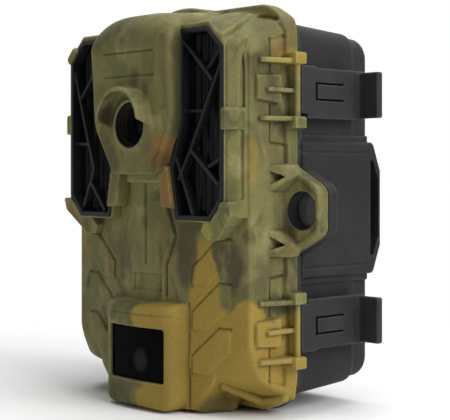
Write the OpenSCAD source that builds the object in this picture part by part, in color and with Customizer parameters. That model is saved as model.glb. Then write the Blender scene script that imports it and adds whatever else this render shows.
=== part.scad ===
// Trail camera: a camouflage front cover that swings on a hinge and is held by two latches,
// over a black rear housing with strap ears, a lock eye and a tripod socket.
// The origin is the middle of the tripod socket's mouth on the base. +Z is up, -Y is the lens side.

/* [Body] */
// Width over the front cover's flange
body_w = 92; // [90:1:94]
// Height of the front cover
body_h = 130; // [129:0.5:131]
// Thickness of the front cover's flange
flange_t = 4.8; // [4.6:0.1:5]
// Depth of the front cover at its side edges
edge_depth = 18.5; // [18:0.5:19]
// Depth of the front cover along its middle
crown_depth = 23.7; // [23:0.1:24.5]
// Depth of the rear housing behind the parting line
rear_depth = 35.6; // [35.4:0.1:36]
// Wall thickness of both shells
wall = 2.2; // [2:0.1:2.4]
// How far the rear housing's flange stands below the front cover
foot_drop = 1.5; // [1.2:0.1:2]

/* [Lens pod] */
// Width of the lens pod
pod_w = 39.2; // [38.6:0.2:39.4]
// Depth of the lens pod from the parting line
pod_depth = 32; // [31.6:0.1:32.6]
// Height of the lens axis above the middle of the body
lens_z = 26.5; // [26:0.5:27]
// Radius of the lens bore
lens_bore_r = 7.4; // [7.2:0.1:7.6]
// Outer radius of the hood over the lens
hood_r = 13; // [12:0.5:13.5]

/* [Lamp panels] */
// Depth of the lamp panels' front from the parting line
panel_depth = 26; // [25.6:0.2:26.6]
// Thickness of a lamp window
lamp_window_t = 2; // [1.8:0.1:2.2]
// Columns of lamps in a panel
lamp_columns = 3; // [2:1:3]
// Rows of lamps in a panel
lamp_rows = 6; // [4:1:6]
// Radius of one lamp
lamp_r = 1.5; // [1:0.1:2]

/* [Motion sensor] */
// Width of the sensor pod
sensor_pod_w = 31; // [30:0.5:32]
// Depth of the sensor pod from the parting line
sensor_pod_depth = 30; // [29.5:0.5:30.5]
// Width of the sensor window
sensor_win_w = 26.4; // [24:0.2:26.8]
// Height of the sensor window
sensor_win_h = 17.6; // [16:0.2:18]

/* [Latches and hinge] */
// Height of a latch's middle above and below the middle of the body
latch_z = 37.7; // [37:0.1:38]
// Height of a latch
latch_h = 16.2; // [15:0.1:16.4]
// Height of a knuckle beside a latch
knuckle_h = 3.8; // [3.4:0.1:4]
// Radius of a latch pin or hinge pin
pin_r = 1; // [0.9:0.05:1.1]
// How far a latch's finger tab stands out from the latch
tab_out = 6.6; // [5:0.1:8]

/* [Lock eye and strap ears] */
// Radius of the lock eye
lock_r = 5.8; // [5:0.1:5.9]
// Distance of the lock eye from the middle of the body
lock_x = 51.7; // [51.7:0.1:52]
// Depth of a strap slot
strap_slot_d = 4.2; // [4.1:0.1:4.3]
// Height of a strap slot
strap_slot_h = 34; // [30:1:35]
// Thickness of a strap ear
ear_t = 5; // [4:0.5:5]

/* [Tripod socket] */
// Radius of the socket's bore, for a quarter inch screw
socket_r = 2.6; // [2.5:0.05:2.7]
// Length of the socket's bore
socket_l = 8.5; // [7:0.5:9]

/* [Batteries] */
// Diameter of a round cell
cell_d = 14.5; // [14.2:0.1:14.5]
// Length of a round cell
cell_l = 50.5; // [49:0.5:50.5]

/* [Hidden] */
$fn = 64;

// Colours, as the photo shows them
camo = [0.42, 0.40, 0.25];
charcoal = [0.16, 0.16, 0.17];
black = [0.05, 0.05, 0.06];
steel = [0.75, 0.76, 0.78];
board_green = [0.10, 0.35, 0.18];
clear = [0.75, 0.82, 0.88];

// Driving heights and depths of the body, in the body frame: y is 0 at the parting line and
// negative towards the lens, z is 0 at the middle of the front cover
half_w = body_w / 2;
half_h = body_h / 2;
base_z = -half_h - foot_drop;
socket_y = 17;
seam = 0.1;
clearance = 0.3;
run_fit = 0.05;

// Front cover: sides stand inside the flange and lean in towards the front
side_x = half_w - 1;
edge_x = side_x - 2;
cover_top = half_h - 2.5;
corner_r = 12;

// Pivot line of latches (right) and hinge (left)
pivot_x = half_w + 2;
pivot_y = -flange_t / 2;
knuckle_r = flange_t / 2;
barrel_r = knuckle_r - 0.5;
knuckle_step = (latch_h + knuckle_h) / 2 + clearance;
arm_in = half_w + 0.4;
arm_out = arm_in + 2.4;
arm_end = rear_depth - 6.2;

// Rear housing: a front tier and a smaller rear tier
tier_y = 24;
rear_x = half_w - 2;
rear_z = half_h - 6.5;
rear_r = 9;
tier_step = [1, 1.3];
inner_back = rear_depth - wall;
rear_flange_t = 2.2;
band_z = 22;
lock_ear_back = 4.1;
insert_r = 4.6;
side_cut = rear_x - rear_r;
seal_t = 1.7;
seal_out = 0.3;
seal_in = 1.7;

// Outer side of the lamp panels, and the back of the rails on them
turret_x = 39.8;
rail_back = -19.3;

// Inside the front cover
board_y = -8;
board_t = 1.6;
panel_back = -0.4;
panel_front = -2.6;
posts = [[35, 47], [-35, 47], [33, -46], [-33, -46]];
post_r = 3;
post_shoulder = 1;
pilot_r = 1;
grille_depth = 3.5;
window_front = -panel_depth + grille_depth;
window_back = window_front + lamp_window_t;
lamp_l = 4.3;
lamp_board_front = window_back + lamp_l;

// Lens, from the window in front to the sensor on the board
glass_front = -29.2;
glass_back = -27.7;
barrel_back = -12;
lens_barrel_r = 6.6;
front_element_r = 5;
rear_element_r = 4;
element_step = -22;
holder_front = -16;
filter_y = [-11, -10];

// Motion sensor, on its holder behind the window
sensor_z = -47;
sensor_holder_front = -14;

// Inner panel layout
screen_z = 24;
screen_size = [41, 31];
button_z = -6;
button_pitch = 14;
button_r = 3.2;
button_travel = 0.8;
switch_pos = [31, -20];
data_pos = [31, -34];
card_size = [32, 2.1, 24];
card_pos = [-28, -5.7, -48];

// Left to right mirrored copy of a list of points, closed round the middle
function mirrored(p) = concat(p, [for (k = [len(p) - 1:-1:0]) [-p[k][0], p[k][1]]]);

// Moves the body frame to the part's own frame
module in_body() {
    translate([0, -socket_y, -base_z])
        children();
}

// Box between two corners
module block(a, b) {
    translate(a)
        cube(b - a);
}

// Prisms along each axis. A profile is drawn in (x, z), (y, z) or (x, y)
module along_y(y0, y1) {
    translate([0, y1, 0])
        rotate([90, 0, 0])
            linear_extrude(y1 - y0)
                children();
}

module along_x(x0, x1) {
    translate([x0, 0, 0])
        rotate([90, 0, 90])
            linear_extrude(x1 - x0)
                children();
}

module along_z(z0, z1) {
    translate([0, 0, z0])
        linear_extrude(z1 - z0)
            children();
}

module rod_y(x, z, y0, y1, r) {
    translate([x, y1, z])
        rotate([90, 0, 0])
            cylinder(h = y1 - y0, r = r);
}

module rod_z(x, y, z0, z1, r) {
    translate([x, y, z0])
        cylinder(h = z1 - z0, r = r);
}

module both_sides() {
    children();
    mirror([1, 0, 0])
        children();
}

module both_heights() {
    children();
    mirror([0, 0, 1])
        children();
}

// Rectangle with round corners
module round_rect(x0, x1, z0, z1, r) {
    translate([x0 + r, z0])
        square([x1 - x0 - 2 * r, z1 - z0]);
    translate([x0, z0 + r])
        square([x1 - x0, z1 - z0 - 2 * r]);
    for (x = [x0 + r, x1 - r], z = [z0 + r, z1 - r])
        translate([x, z])
            circle(r);
}

// Front view of the cover ahead of its flange, shrunk by inset on every side
module cover_front(inset) {
    polygon(mirrored([
        [34 - 0.4 * inset, cover_top - inset],
        [side_x - inset, 51 - 0.4 * inset],
        [side_x - inset, -43 + 0.3 * inset],
        [33 - 0.6 * inset, -cover_top + inset]
    ]));
}

// Top view of the cover, with its low ridge along the middle
module cover_plan(inset, back) {
    polygon(mirrored([
        [side_x - inset, back],
        [side_x - inset, -flange_t],
        [edge_x - inset, -edge_depth + inset],
        [0.01, -crown_depth + inset]
    ]));
}

// Side view of the cover, with sloping shoulders
module cover_side(inset) {
    polygon([
        [0, cover_top + 1 - inset],
        [-flange_t, cover_top - inset],
        [-panel_depth, 58 - inset],
        [-panel_depth, -50 + inset],
        [-edge_depth, -58 + inset],
        [-flange_t, -cover_top + inset],
        [0, -cover_top + inset]
    ]);
}

// Opening of the right lamp panel
lamp_outline = [
    [20.2, 57], [32, 57], [38.6, 50.5], [38.6, 3],
    [33, -3.4], [17.6, -3.4], [15.6, 12], [20.2, 27]
];

// Middle lines of the right grille's ribs
grille_ribs = [
    [[20, 53], [33.6, 39.7]], [[38, 46], [23.2, 18.1]], [[23.2, 18.1], [18, 10]],
    [[20.4, 30.6], [28.9, 30.3]], [[23.2, 18.1], [36, 7.5]], [[31.2, 12.7], [38, 15.8]],
    [[17, 14.7], [24.6, -2.6]], [[38, 21], [24.8, 20.8]]
];
grille_rib_w = 1.1;

// Rear housing

// Rear view of the front tier, or of the rear one with its step
module rear_outline(step, inset) {
    x = rear_x - step[0] - inset;
    z = rear_z - step[1] - inset;
    round_rect(-x, x, -z, z, rear_r - inset);
}

module rear_body() {
    along_y(seam, tier_y)
        rear_outline([0, 0], 0);
    along_y(tier_y - 0.01, rear_depth)
        rear_outline(tier_step, 0);
}

module rear_cavity() {
    along_y(-1, tier_y)
        rear_outline([0, 0], wall);
    along_y(tier_y - 0.01, rear_depth + 1)
        rear_outline(tier_step, wall);
}

module strap_ear() {
    ear_back = rear_depth + strap_slot_d + 1.2;
    along_x(half_w - ear_t, half_w)
        difference() {
            polygon([
                [rear_depth - 3, band_z], [rear_depth, band_z], [ear_back, 12.5],
                [ear_back, -12.5], [rear_depth, -band_z], [rear_depth - 3, -band_z]
            ]);
            polygon([
                [rear_depth, strap_slot_h / 2], [rear_depth + strap_slot_d, 11.5],
                [rear_depth + strap_slot_d, -11.5], [rear_depth, -strap_slot_h / 2]
            ]);
        }
}

module lock_ear_outline() {
    polygon([
        [rear_x - 1, 14.2], [half_w + 1, 14.2], [58.2, 7.4], [59.4, 5.6],
        [59.4, -5.6], [58.2, -7.4], [half_w + 1, -14.2], [rear_x - 1, -14.2]
    ]);
}

module hinge_lug() {
    rod_z(-pivot_x, pivot_y, latch_z - latch_h / 2, latch_z + latch_h / 2, barrel_r);
    block([-arm_out, pivot_y, latch_z - latch_h / 2],
          [-arm_in - 0.6, 14, latch_z + latch_h / 2]);
    block([-arm_out, rear_flange_t, latch_z - latch_h / 2],
          [-rear_x + 1, 14, latch_z + latch_h / 2]);
}

module seal_ring(r0, r1) {
    difference() {
        rear_outline([0, 0], r0);
        rear_outline([0, 0], r1);
    }
}

module rear_flange() {
    along_y(seam, rear_flange_t)
        round_rect(-half_w + 0.2, half_w - 0.2, base_z, half_h - 1.5, corner_r);
}

// Walls of the rear moulding, which four nodes share out so that its hollow stays open
module rear_moulding() {
    boss_half_h = 4;
    base_half_w = 13;
    difference() {
        union() {
            rear_body();
            rear_flange();
            both_heights() {
                hinge_lug();
                block([rear_x - 1.5, 18, latch_z - boss_half_h],
                      [arm_in - clearance, tier_y, latch_z + boss_half_h]);
            }
            block([-base_half_w, 5, base_z], [base_half_w, 29, -rear_z + 1]);
        }
        rear_cavity();
        rod_z(0, socket_y, base_z - 1, base_z + socket_l, insert_r);
        both_heights()
            rod_z(-pivot_x, pivot_y, latch_z - latch_h, latch_z + latch_h, pin_r);
        along_y(-1, seal_t)
            seal_ring(seal_out, seal_in);
    }
}

module rear_share(x0, x1, z0, z1) {
    color(charcoal)
        in_body()
            intersection() {
                rear_moulding();
                block([x0, -flange_t, z0], [x1, inner_back, z1]);
            }
}

module rear_back() {
    color(charcoal)
        in_body()
            along_y(inner_back, rear_depth)
                rear_outline(tier_step, 0);
}

module rear_left() {
    rear_share(-body_w, -side_cut, -body_h, body_h);
}

module rear_right() {
    rear_share(side_cut, body_w, -body_h, body_h);
}

module rear_top() {
    rear_share(-side_cut, side_cut, 0, body_h);
}

module rear_base() {
    rear_share(-side_cut, side_cut, -body_h, 0);
}

// Bands round the middle of the rear housing, each with a strap ear
module strap_bracket() {
    color(charcoal)
        difference() {
            union() {
                block([rear_x - 2, rear_flange_t, -band_z], [half_w, rear_depth, band_z]);
                strap_ear();
            }
            rear_body();
        }
}

module strap_bracket_left() {
    in_body()
        mirror([1, 0, 0])
            strap_bracket();
}

module strap_bracket_right() {
    in_body() {
        strap_bracket();
        color(charcoal)
            difference() {
                along_y(seam, lock_ear_back)
                    lock_ear_outline();
                rear_body();
                rear_flange();
                rod_y(lock_x, 0, -1, lock_ear_back + 1, lock_r);
            }
    }
}

module door_seal() {
    color(black)
        in_body()
            along_y(0, seal_t)
                seal_ring(seal_out, seal_in);
}

// Battery tray with its cells lying across, one above the other
cell_pitch = cell_d + 0.8;
cell_y = 23.4;
tray_in = cell_l / 2 + 1.8;

module battery_tray() {
    color(black)
        in_body()
            difference() {
                union() {
                    block([-tray_in - 3, cell_y, -3 * cell_pitch - 1],
                          [tray_in + 3, inner_back, 3 * cell_pitch + 1]);
                    both_sides()
                        block([tray_in, cell_y - 6, -3 * cell_pitch - 1],
                              [tray_in + 3, inner_back, 3 * cell_pitch + 1]);
                }
                for (k = [-2.5:1:2.5])
                    translate([-tray_in, cell_y, k * cell_pitch])
                        rotate([0, 90, 0])
                            cylinder(h = 2 * tray_in, r = cell_d / 2 + 0.1);
            }
}

module cell() {
    rotate([0, 90, 0]) {
        translate([0, 0, -cell_l / 2])
            cylinder(h = cell_l - 1.2, r = cell_d / 2);
        translate([0, 0, cell_l / 2 - 1.2])
            cylinder(h = 1.2, r = 2.6);
    }
}

module battery_cells() {
    color("goldenrod")
        in_body()
            for (k = [0:5])
                translate([0, cell_y, (k - 2.5) * cell_pitch])
                    rotate([0, 0, 180 * (k % 2)])
                        cell();
}

module battery_contacts() {
    color(steel)
        in_body()
            both_sides()
                for (k = [-2.5:1:2.5])
                    translate([0, cell_y, k * cell_pitch]) {
                        block([tray_in - 0.5, -5, -4.5], [tray_in, 4.5, 4.5]);
                        block([cell_l / 2, -2, -2], [tray_in, 2, 2]);
                    }
}

module tripod_insert() {
    color("gold")
        in_body()
            difference() {
                rod_z(0, socket_y, base_z, base_z + socket_l, insert_r);
                rod_z(0, socket_y, base_z - 1, base_z + socket_l + 1, socket_r);
            }
}

module hinge_pins() {
    reach = knuckle_step + knuckle_h / 2;
    color(steel)
        in_body()
            both_heights()
                rod_z(-pivot_x, pivot_y, latch_z - reach, latch_z + reach, pin_r);
}

// Front cover

module lens_pod() {
    intersection() {
        along_y(-pod_depth, -10)
            polygon(mirrored([[pod_w / 2, 68], [pod_w / 2, lens_z + 1], [12, 10.8]]));
        along_x(-pod_w, pod_w)
            polygon([
                [-pod_depth, 0], [-pod_depth, 52.5], [-30.4, 55.6], [-27, 59], [-21, 62.6],
                [-14, 64.8], [-flange_t, half_h + 1], [-flange_t, 0]
            ]);
    }
}

module lens_hood() {
    intersection() {
        difference() {
            rod_y(0, lens_z, -pod_depth - 3, -pod_depth + 2, hood_r);
            rod_y(0, lens_z, -pod_depth - 4, -pod_depth + 3, hood_r - 2);
        }
        block([-hood_r, -pod_depth - 3, lens_z + 1], [hood_r, -pod_depth + 2, lens_z + hood_r]);
    }
}

module lamp_turret() {
    along_y(-panel_depth, -14)
        polygon([
            [10, 58.2], [32.6, 58.2], [turret_x, 51], [turret_x, 2.4], [33.6, -4.6], [10, -4.6]
        ]);
}

module sensor_pod() {
    x = sensor_pod_w / 2;
    along_z(-half_h + 0.5, -32)
        polygon(mirrored([[x, -12], [x, -27], [11, -sensor_pod_depth]]));
}

module sensor_window_outline(grow) {
    z0 = -57;
    x = sensor_win_w / 2 + grow;
    round_rect(-x, x, z0 - grow, z0 + sensor_win_h + grow, 2);
}

// Ribs beside one latch, running from the side of the cover to the knuckles
module rib_group() {
    for (z = [latch_z - knuckle_step, latch_z + knuckle_step]) {
        along_z(z - knuckle_h / 2, z + knuckle_h / 2)
            polygon([
                [edge_x - 4, -12.6], [side_x, -12.6], [half_w + 0.8, -flange_t],
                [pivot_x, -flange_t], [pivot_x, -seam], [edge_x - 4, -seam]
            ]);
        rod_z(pivot_x, pivot_y, z - knuckle_h / 2, z + knuckle_h / 2, knuckle_r - seam);
    }
    along_x(edge_x - 4, side_x + 0.2)
        polygon([
            [-13.6, latch_z + 4], [-5.5, latch_z + 4], [-5.5, latch_z - 5], [-13.6, latch_z - 3.6]
        ]);
}

module lock_ear_front() {
    along_y(-flange_t, -seam)
        lock_ear_outline();
    both_heights()
        block([edge_x - 3, -9.5, 12.2], [half_w + 2.5, -flange_t + 0.1, 14.2]);
}

module cover_solid() {
    intersection() {
        along_z(-half_h, half_h)
            cover_plan(0, -seam);
        along_y(-panel_depth, -seam)
            cover_front(0);
        along_x(-half_w, half_w)
            cover_side(0);
    }
    along_y(-flange_t, -seam)
        round_rect(-half_w, half_w, -half_h, half_h, corner_r);
    lens_pod();
    lens_hood();
    both_sides() {
        lamp_turret();
        along_y(-27.6, -18)
            polygon([[10.8, 14], [15.4, 12.5], [16.8, 0], [11.2, 0]]);
        both_heights()
            rib_group();
    }
    sensor_pod();
    lock_ear_front();
}

module cover_cavity() {
    intersection() {
        along_z(-half_h, half_h)
            cover_plan(wall, 1);
        along_y(-panel_depth, 1)
            cover_front(wall);
        along_x(-half_w, half_w)
            cover_side(wall);
    }
    along_z(-59, -36)
        polygon(mirrored([[13.3, -10], [13.3, -25.6], [10.4, -27]]));
}

// Posts for the board and the inner panel, the upper ones tied to the cover's sides by a web
module cover_posts() {
    web_t = 2.4;
    intersection() {
        union() {
            for (p = posts) {
                rod_y(p[0], p[1], -edge_depth, board_y, post_r + post_shoulder);
                rod_y(p[0], p[1], board_y - 1, panel_front, post_r);
            }
            both_sides()
                block([posts[0][0], board_y - 6, posts[0][1] - web_t / 2],
                      [side_x - wall - 0.2, board_y, posts[0][1] + web_t / 2]);
        }
        along_z(-half_h, half_h)
            cover_plan(1, 0);
    }
}

module front_shell() {
    notch = latch_h / 2 + clearance;
    color(camo)
        in_body()
            difference() {
                union() {
                    difference() {
                        cover_solid();
                        cover_cavity();
                        rod_y(0, lens_z, -pod_depth - 1, -15, lens_bore_r);
                        both_sides()
                            along_y(-panel_depth - 1, -15)
                                polygon(lamp_outline);
                        along_y(-sensor_pod_depth - 1, -25)
                            sensor_window_outline(0);
                    }
                    cover_posts();
                }
                both_sides()
                    both_heights()
                        block([half_w - 0.5, -flange_t - 1, latch_z - notch],
                              [half_w + 9, 1, latch_z + notch]);
                rod_y(lock_x, 0, -flange_t - 1, 1, lock_r);
                both_heights() {
                    rod_z(pivot_x, pivot_y, latch_z - 15, latch_z + 15, pin_r);
                    rod_z(-pivot_x, pivot_y, latch_z - 15, latch_z + 15, pin_r + run_fit);
                }
                for (p = posts)
                    rod_y(p[0], p[1], panel_front - 9, panel_front + 1, pilot_r);
            }
}

// Top view of a rail with its outer corners cut
module rail_section(front, out) {
    cut = 1.5;
    polygon([
        [turret_x, front], [out - cut, front], [out, front + cut],
        [out, rail_back - cut], [out - cut, rail_back], [turret_x, rail_back]
    ]);
}

module side_rail() {
    color(camo)
        in_body() {
            along_z(-1, 54)
                rail_section(-25.4, 43.4);
            for (z = [[24.4, 30.9], [49.5, 55.4]])
                along_z(z[0], z[1])
                    rail_section(-26.2, 44.2);
            along_y(-25.6, -20.8)
                polygon([
                    [turret_x, 1.6], [43.8, 1.6], [43.8, -5.2], [40, -9.6], [27.6, -9.6],
                    [30.4, -4.6], [33.6, -4.6], [turret_x, 2.4]
                ]);
        }
}

module side_rail_right() {
    side_rail();
}

module side_rail_left() {
    mirror([1, 0, 0])
        side_rail();
}

// Lens, from the front window to the image sensor

module lens_window() {
    color(clear)
        in_body()
            rod_y(0, lens_z, glass_front, glass_back, lens_bore_r);
}

module lens_barrel() {
    color(black)
        in_body()
            difference() {
                rod_y(0, lens_z, glass_back, barrel_back, lens_barrel_r);
                rod_y(0, lens_z, glass_back - 1, element_step, front_element_r);
                rod_y(0, lens_z, element_step - 0.1, barrel_back + 1, rear_element_r);
            }
}

module lens_elements() {
    color(clear)
        in_body() {
            intersection() {
                rod_y(0, lens_z, glass_back + 0.3, element_step, front_element_r);
                translate([0, -18.4, lens_z])
                    sphere(8.6);
            }
            rod_y(0, lens_z, -18.4, -16.6, rear_element_r);
        }
}

module lens_holder() {
    color(black)
        in_body()
            difference() {
                block([-9, holder_front, lens_z - 9], [17, board_y, lens_z + 9]);
                rod_y(0, lens_z, holder_front - 1, barrel_back, lens_barrel_r);
                rod_y(0, lens_z, barrel_back - 1, board_y + 1, rear_element_r);
                block([-6.5, filter_y[0] - clearance, lens_z - 6],
                      [15, filter_y[1] + clearance, lens_z + 6]);
                block([-4.4, -9.8, lens_z - 4.4], [4.4, board_y + 1, lens_z + 4.4]);
            }
}

module ir_filter() {
    color([0.55, 0.25, 0.35])
        in_body()
            block([-5.6, filter_y[0], lens_z - 5.6], [5.6, filter_y[1], lens_z + 5.6]);
}

module image_sensor() {
    color(black)
        in_body()
            block([-4.2, -9.2, lens_z - 4.2], [4.2, board_y, lens_z + 4.2]);
}

module main_board() {
    color(board_green)
        in_body()
            difference() {
                along_y(board_y, board_y + board_t)
                    polygon(mirrored([[33, 55], [40.5, 47], [40.5, -40], [31, -55]]));
                for (p = posts)
                    rod_y(p[0], p[1], board_y - 1, board_y + board_t + 1, post_r);
            }
}

// Lamp panels

module lamp_window_right() {
    color(black)
        in_body()
            along_y(window_front, window_back)
                polygon(lamp_outline);
}

module lamp_window_left() {
    mirror([1, 0, 0])
        lamp_window_right();
}

// Flat bar between two points of the (x, z) plane
module rib_bar(a, b) {
    d = b - a;
    translate(a)
        rotate(atan2(d[1], d[0]))
            translate([0, -grille_rib_w / 2])
                square([norm(d), grille_rib_w]);
}

module lamp_grille_right() {
    color(black)
        in_body()
            intersection() {
                along_y(-panel_depth + 0.4, window_front)
                    polygon(lamp_outline);
                union() {
                    for (r = grille_ribs)
                        along_y(-panel_depth, window_front)
                            rib_bar(r[0], r[1]);
                    difference() {
                        along_y(-panel_depth, window_front)
                            polygon(lamp_outline);
                        along_y(-panel_depth - 1, window_front + 1)
                            polygon([
                                [21.2, 55.8], [31.4, 55.8], [37.5, 49.9], [37.5, 3.5],
                                [32.5, -2.3], [18.8, -2.3], [16.8, 12], [21.2, 26.6]
                            ]);
                    }
                }
            }
}

module lamp_grille_left() {
    mirror([1, 0, 0])
        lamp_grille_right();
}

module lamp_board_right() {
    color(board_green)
        in_body()
            block([18.6, lamp_board_front, -2], [38.4, lamp_board_front + board_t, 42]);
}

module lamp_board_left() {
    mirror([1, 0, 0])
        lamp_board_right();
}

module lamps_right() {
    pitch_x = 12 / (lamp_columns - 1);
    pitch_z = 38 / (lamp_rows - 1);
    color("lavender")
        in_body()
            for (i = [0:lamp_columns - 1], k = [0:lamp_rows - 1])
                rod_y(22.4 + i * pitch_x, 1.5 + k * pitch_z, window_back, lamp_board_front, lamp_r);
}

module lamps_left() {
    mirror([1, 0, 0])
        lamps_right();
}

// Motion sensor behind its window

module sensor_window() {
    color(black)
        in_body()
            along_y(-28.2, -26.6)
                sensor_window_outline(0);
}

module sensor_holder() {
    color(black)
        in_body()
            rod_y(0, sensor_z, sensor_holder_front, board_y, 6);
}

module motion_sensor() {
    color(steel)
        in_body() {
            rod_y(0, sensor_z, sensor_holder_front - 4.5, sensor_holder_front, 4.2);
            rod_y(0, sensor_z, sensor_holder_front - 0.6, sensor_holder_front, 4.7);
        }
}

// Inner panel on the back of the cover, with what is set in it

module inner_panel() {
    color(charcoal)
        in_body()
            difference() {
                along_y(panel_front, panel_back)
                    cover_front(wall + 0.2);
                along_y(panel_front - 1, panel_back + 1)
                    translate([0, screen_z])
                        square(screen_size, center = true);
                for (k = [-1.5:1:1.5])
                    rod_y(k * button_pitch, button_z, panel_front - 1, panel_back + 1,
                          button_r + clearance);
                block([switch_pos[0] - 4.4, panel_front - 1, switch_pos[1] - 1.6],
                      [switch_pos[0] + 4.4, panel_back + 1, switch_pos[1] + 1.6]);
                block([data_pos[0] - 4.2, panel_front - 1, data_pos[1] - 2.2],
                      [data_pos[0] + 4.2, panel_back + 1, data_pos[1] + 2.2]);
                block([-2, panel_front - 1, -50], [23, panel_back + 1, -22]);
                for (p = posts) {
                    rod_y(p[0], p[1], panel_front - 1, panel_back + 1, 1.3);
                    rod_y(p[0], p[1], panel_back - 0.9, panel_back + 1, 2.5);
                }
            }
}

module screen() {
    color([0.2, 0.25, 0.3])
        in_body()
            block([-24, panel_front - 2.6, screen_z - 18], [24, panel_front, screen_z + 18]);
}

module screen_window() {
    color(clear)
        in_body()
            block([-screen_size[0] / 2, panel_front, screen_z - screen_size[1] / 2],
                  [screen_size[0] / 2, panel_back - 0.2, screen_z + screen_size[1] / 2]);
}

module key_switches() {
    rear = board_y + board_t;
    color(steel)
        in_body()
            for (k = [-1.5:1:1.5]) {
                block([k * button_pitch - 3, rear, button_z - 3],
                      [k * button_pitch + 3, rear + 1, button_z + 3]);
                rod_y(k * button_pitch, button_z, rear + 1, rear + 1.4, 1.5);
            }
}

module button(k) {
    top = panel_back + 1.6;
    foot = board_y + board_t + 1.5 + button_travel;
    color(charcoal)
        in_body() {
            rod_y(k * button_pitch, button_z, foot, top, button_r);
            rod_y(k * button_pitch, button_z, foot, panel_front - 0.1, button_r + 1);
        }
}

module button_menu() {
    button(-1.5);
}

module button_up() {
    button(-0.5);
}

module button_down() {
    button(0.5);
}

module button_ok() {
    button(1.5);
}

module slide_switch_body() {
    rear = board_y + board_t;
    color(steel)
        in_body()
            difference() {
                block([switch_pos[0] - 5.5, rear, switch_pos[1] - 2.6],
                      [switch_pos[0] + 5.5, rear + 3, switch_pos[1] + 2.6]);
                block([switch_pos[0] - 4.4, rear + 1, switch_pos[1] - 1.4],
                      [switch_pos[0] + 4.4, rear + 4, switch_pos[1] + 1.4]);
            }
}

module power_switch() {
    rear = board_y + board_t;
    x = switch_pos[0] - 4;
    color(black)
        in_body()
            block([x, rear + 1.3, switch_pos[1] - 1], [x + 3, panel_back + 1.2, switch_pos[1] + 1]);
}

module card_socket() {
    rear = board_y + board_t;
    color(steel)
        in_body()
            difference() {
                block([-30, rear, -50], [-2, panel_front - clearance, -22]);
                block([-28.4, card_pos[1] - 0.25, -48.3],
                      [0, card_pos[1] + card_size[1] + 0.25, -23.7]);
            }
}

module memory_card() {
    color([0.1, 0.15, 0.35])
        in_body()
            translate(card_pos)
                difference() {
                    cube(card_size);
                    translate([-0.01, -1, card_size[2] - 4])
                        rotate([0, -45, 0])
                            cube([8, 5, 8]);
                }
}

module data_socket() {
    rear = board_y + board_t;
    color(steel)
        in_body()
            difference() {
                block([data_pos[0] - 4, rear, data_pos[1] - 2],
                      [data_pos[0] + 4, panel_back - 0.2, data_pos[1] + 2]);
                block([data_pos[0] - 3.4, rear + 1, data_pos[1] - 1.4],
                      [data_pos[0] + 3.4, panel_back, data_pos[1] + 1.4]);
            }
}

module panel_screws() {
    color(steel)
        in_body()
            for (p = posts)
                difference() {
                    union() {
                        rod_y(p[0], p[1], panel_back - 0.9, panel_back, 2.4);
                        rod_y(p[0], p[1], panel_front - 8, panel_back - 0.8, pilot_r);
                    }
                    for (turn = [0, 90])
                        translate([p[0], panel_back - 0.2, p[1]])
                            rotate([0, turn, 0])
                                cube([3, 0.8, 0.5], center = true);
                }
}

// Latches

module latch_pins() {
    reach = knuckle_step + knuckle_h / 2;
    color(steel)
        in_body()
            both_heights()
                rod_z(pivot_x, pivot_y, latch_z - reach, latch_z + reach, pin_r);
}

module latch_upper() {
    tongue_z = 2.7;
    slot = 0.5;
    z0 = latch_z - latch_h / 2;
    z1 = latch_z + latch_h / 2;
    color(charcoal)
        in_body()
            difference() {
                union() {
                    rod_z(pivot_x, pivot_y, z0, z1, barrel_r);
                    block([arm_in, pivot_y, z0], [arm_out, arm_end, z1]);
                    block([arm_in, arm_end - 2.2, z0 + 0.6], [arm_out + tab_out, arm_end, z1 - 0.6]);
                }
                rod_z(pivot_x, pivot_y, z0 - 1, z1 + 1, pin_r + run_fit);
                block([arm_in - 1, 5.6, latch_z - tongue_z], [arm_out + 1, 7, latch_z + tongue_z]);
                for (z = [-tongue_z, tongue_z - slot])
                    block([arm_in - 1, 6, latch_z + z], [arm_out + 1, 19, latch_z + z + slot]);
            }
}

module latch_lower() {
    in_body()
        mirror([0, 0, 1])
            translate([0, socket_y, base_z])
                latch_upper();
}

rear_back();
rear_left();
rear_right();
rear_top();
rear_base();
strap_bracket_left();
strap_bracket_right();
door_seal();
battery_tray();
battery_cells();
battery_contacts();
tripod_insert();
hinge_pins();
front_shell();
side_rail_left();
side_rail_right();
lens_window();
lens_barrel();
lens_elements();
lens_holder();
image_sensor();
main_board();
lamp_window_left();
lamp_window_right();
lamp_grille_left();
lamp_grille_right();
lamp_board_left();
lamp_board_right();
lamps_left();
lamps_right();
sensor_window();
sensor_holder();
motion_sensor();
inner_panel();
screen();
screen_window();
key_switches();
slide_switch_body();
card_socket();
data_socket();
panel_screws();
latch_pins();
latch_upper();
latch_lower();
button_menu();
button_up();
button_down();
button_ok();
power_switch();
memory_card();
ir_filter();
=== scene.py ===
"""Looks of a trail camera: a camouflage door with lens, lamps and motion sensor, on a black rear case."""
import math

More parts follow.
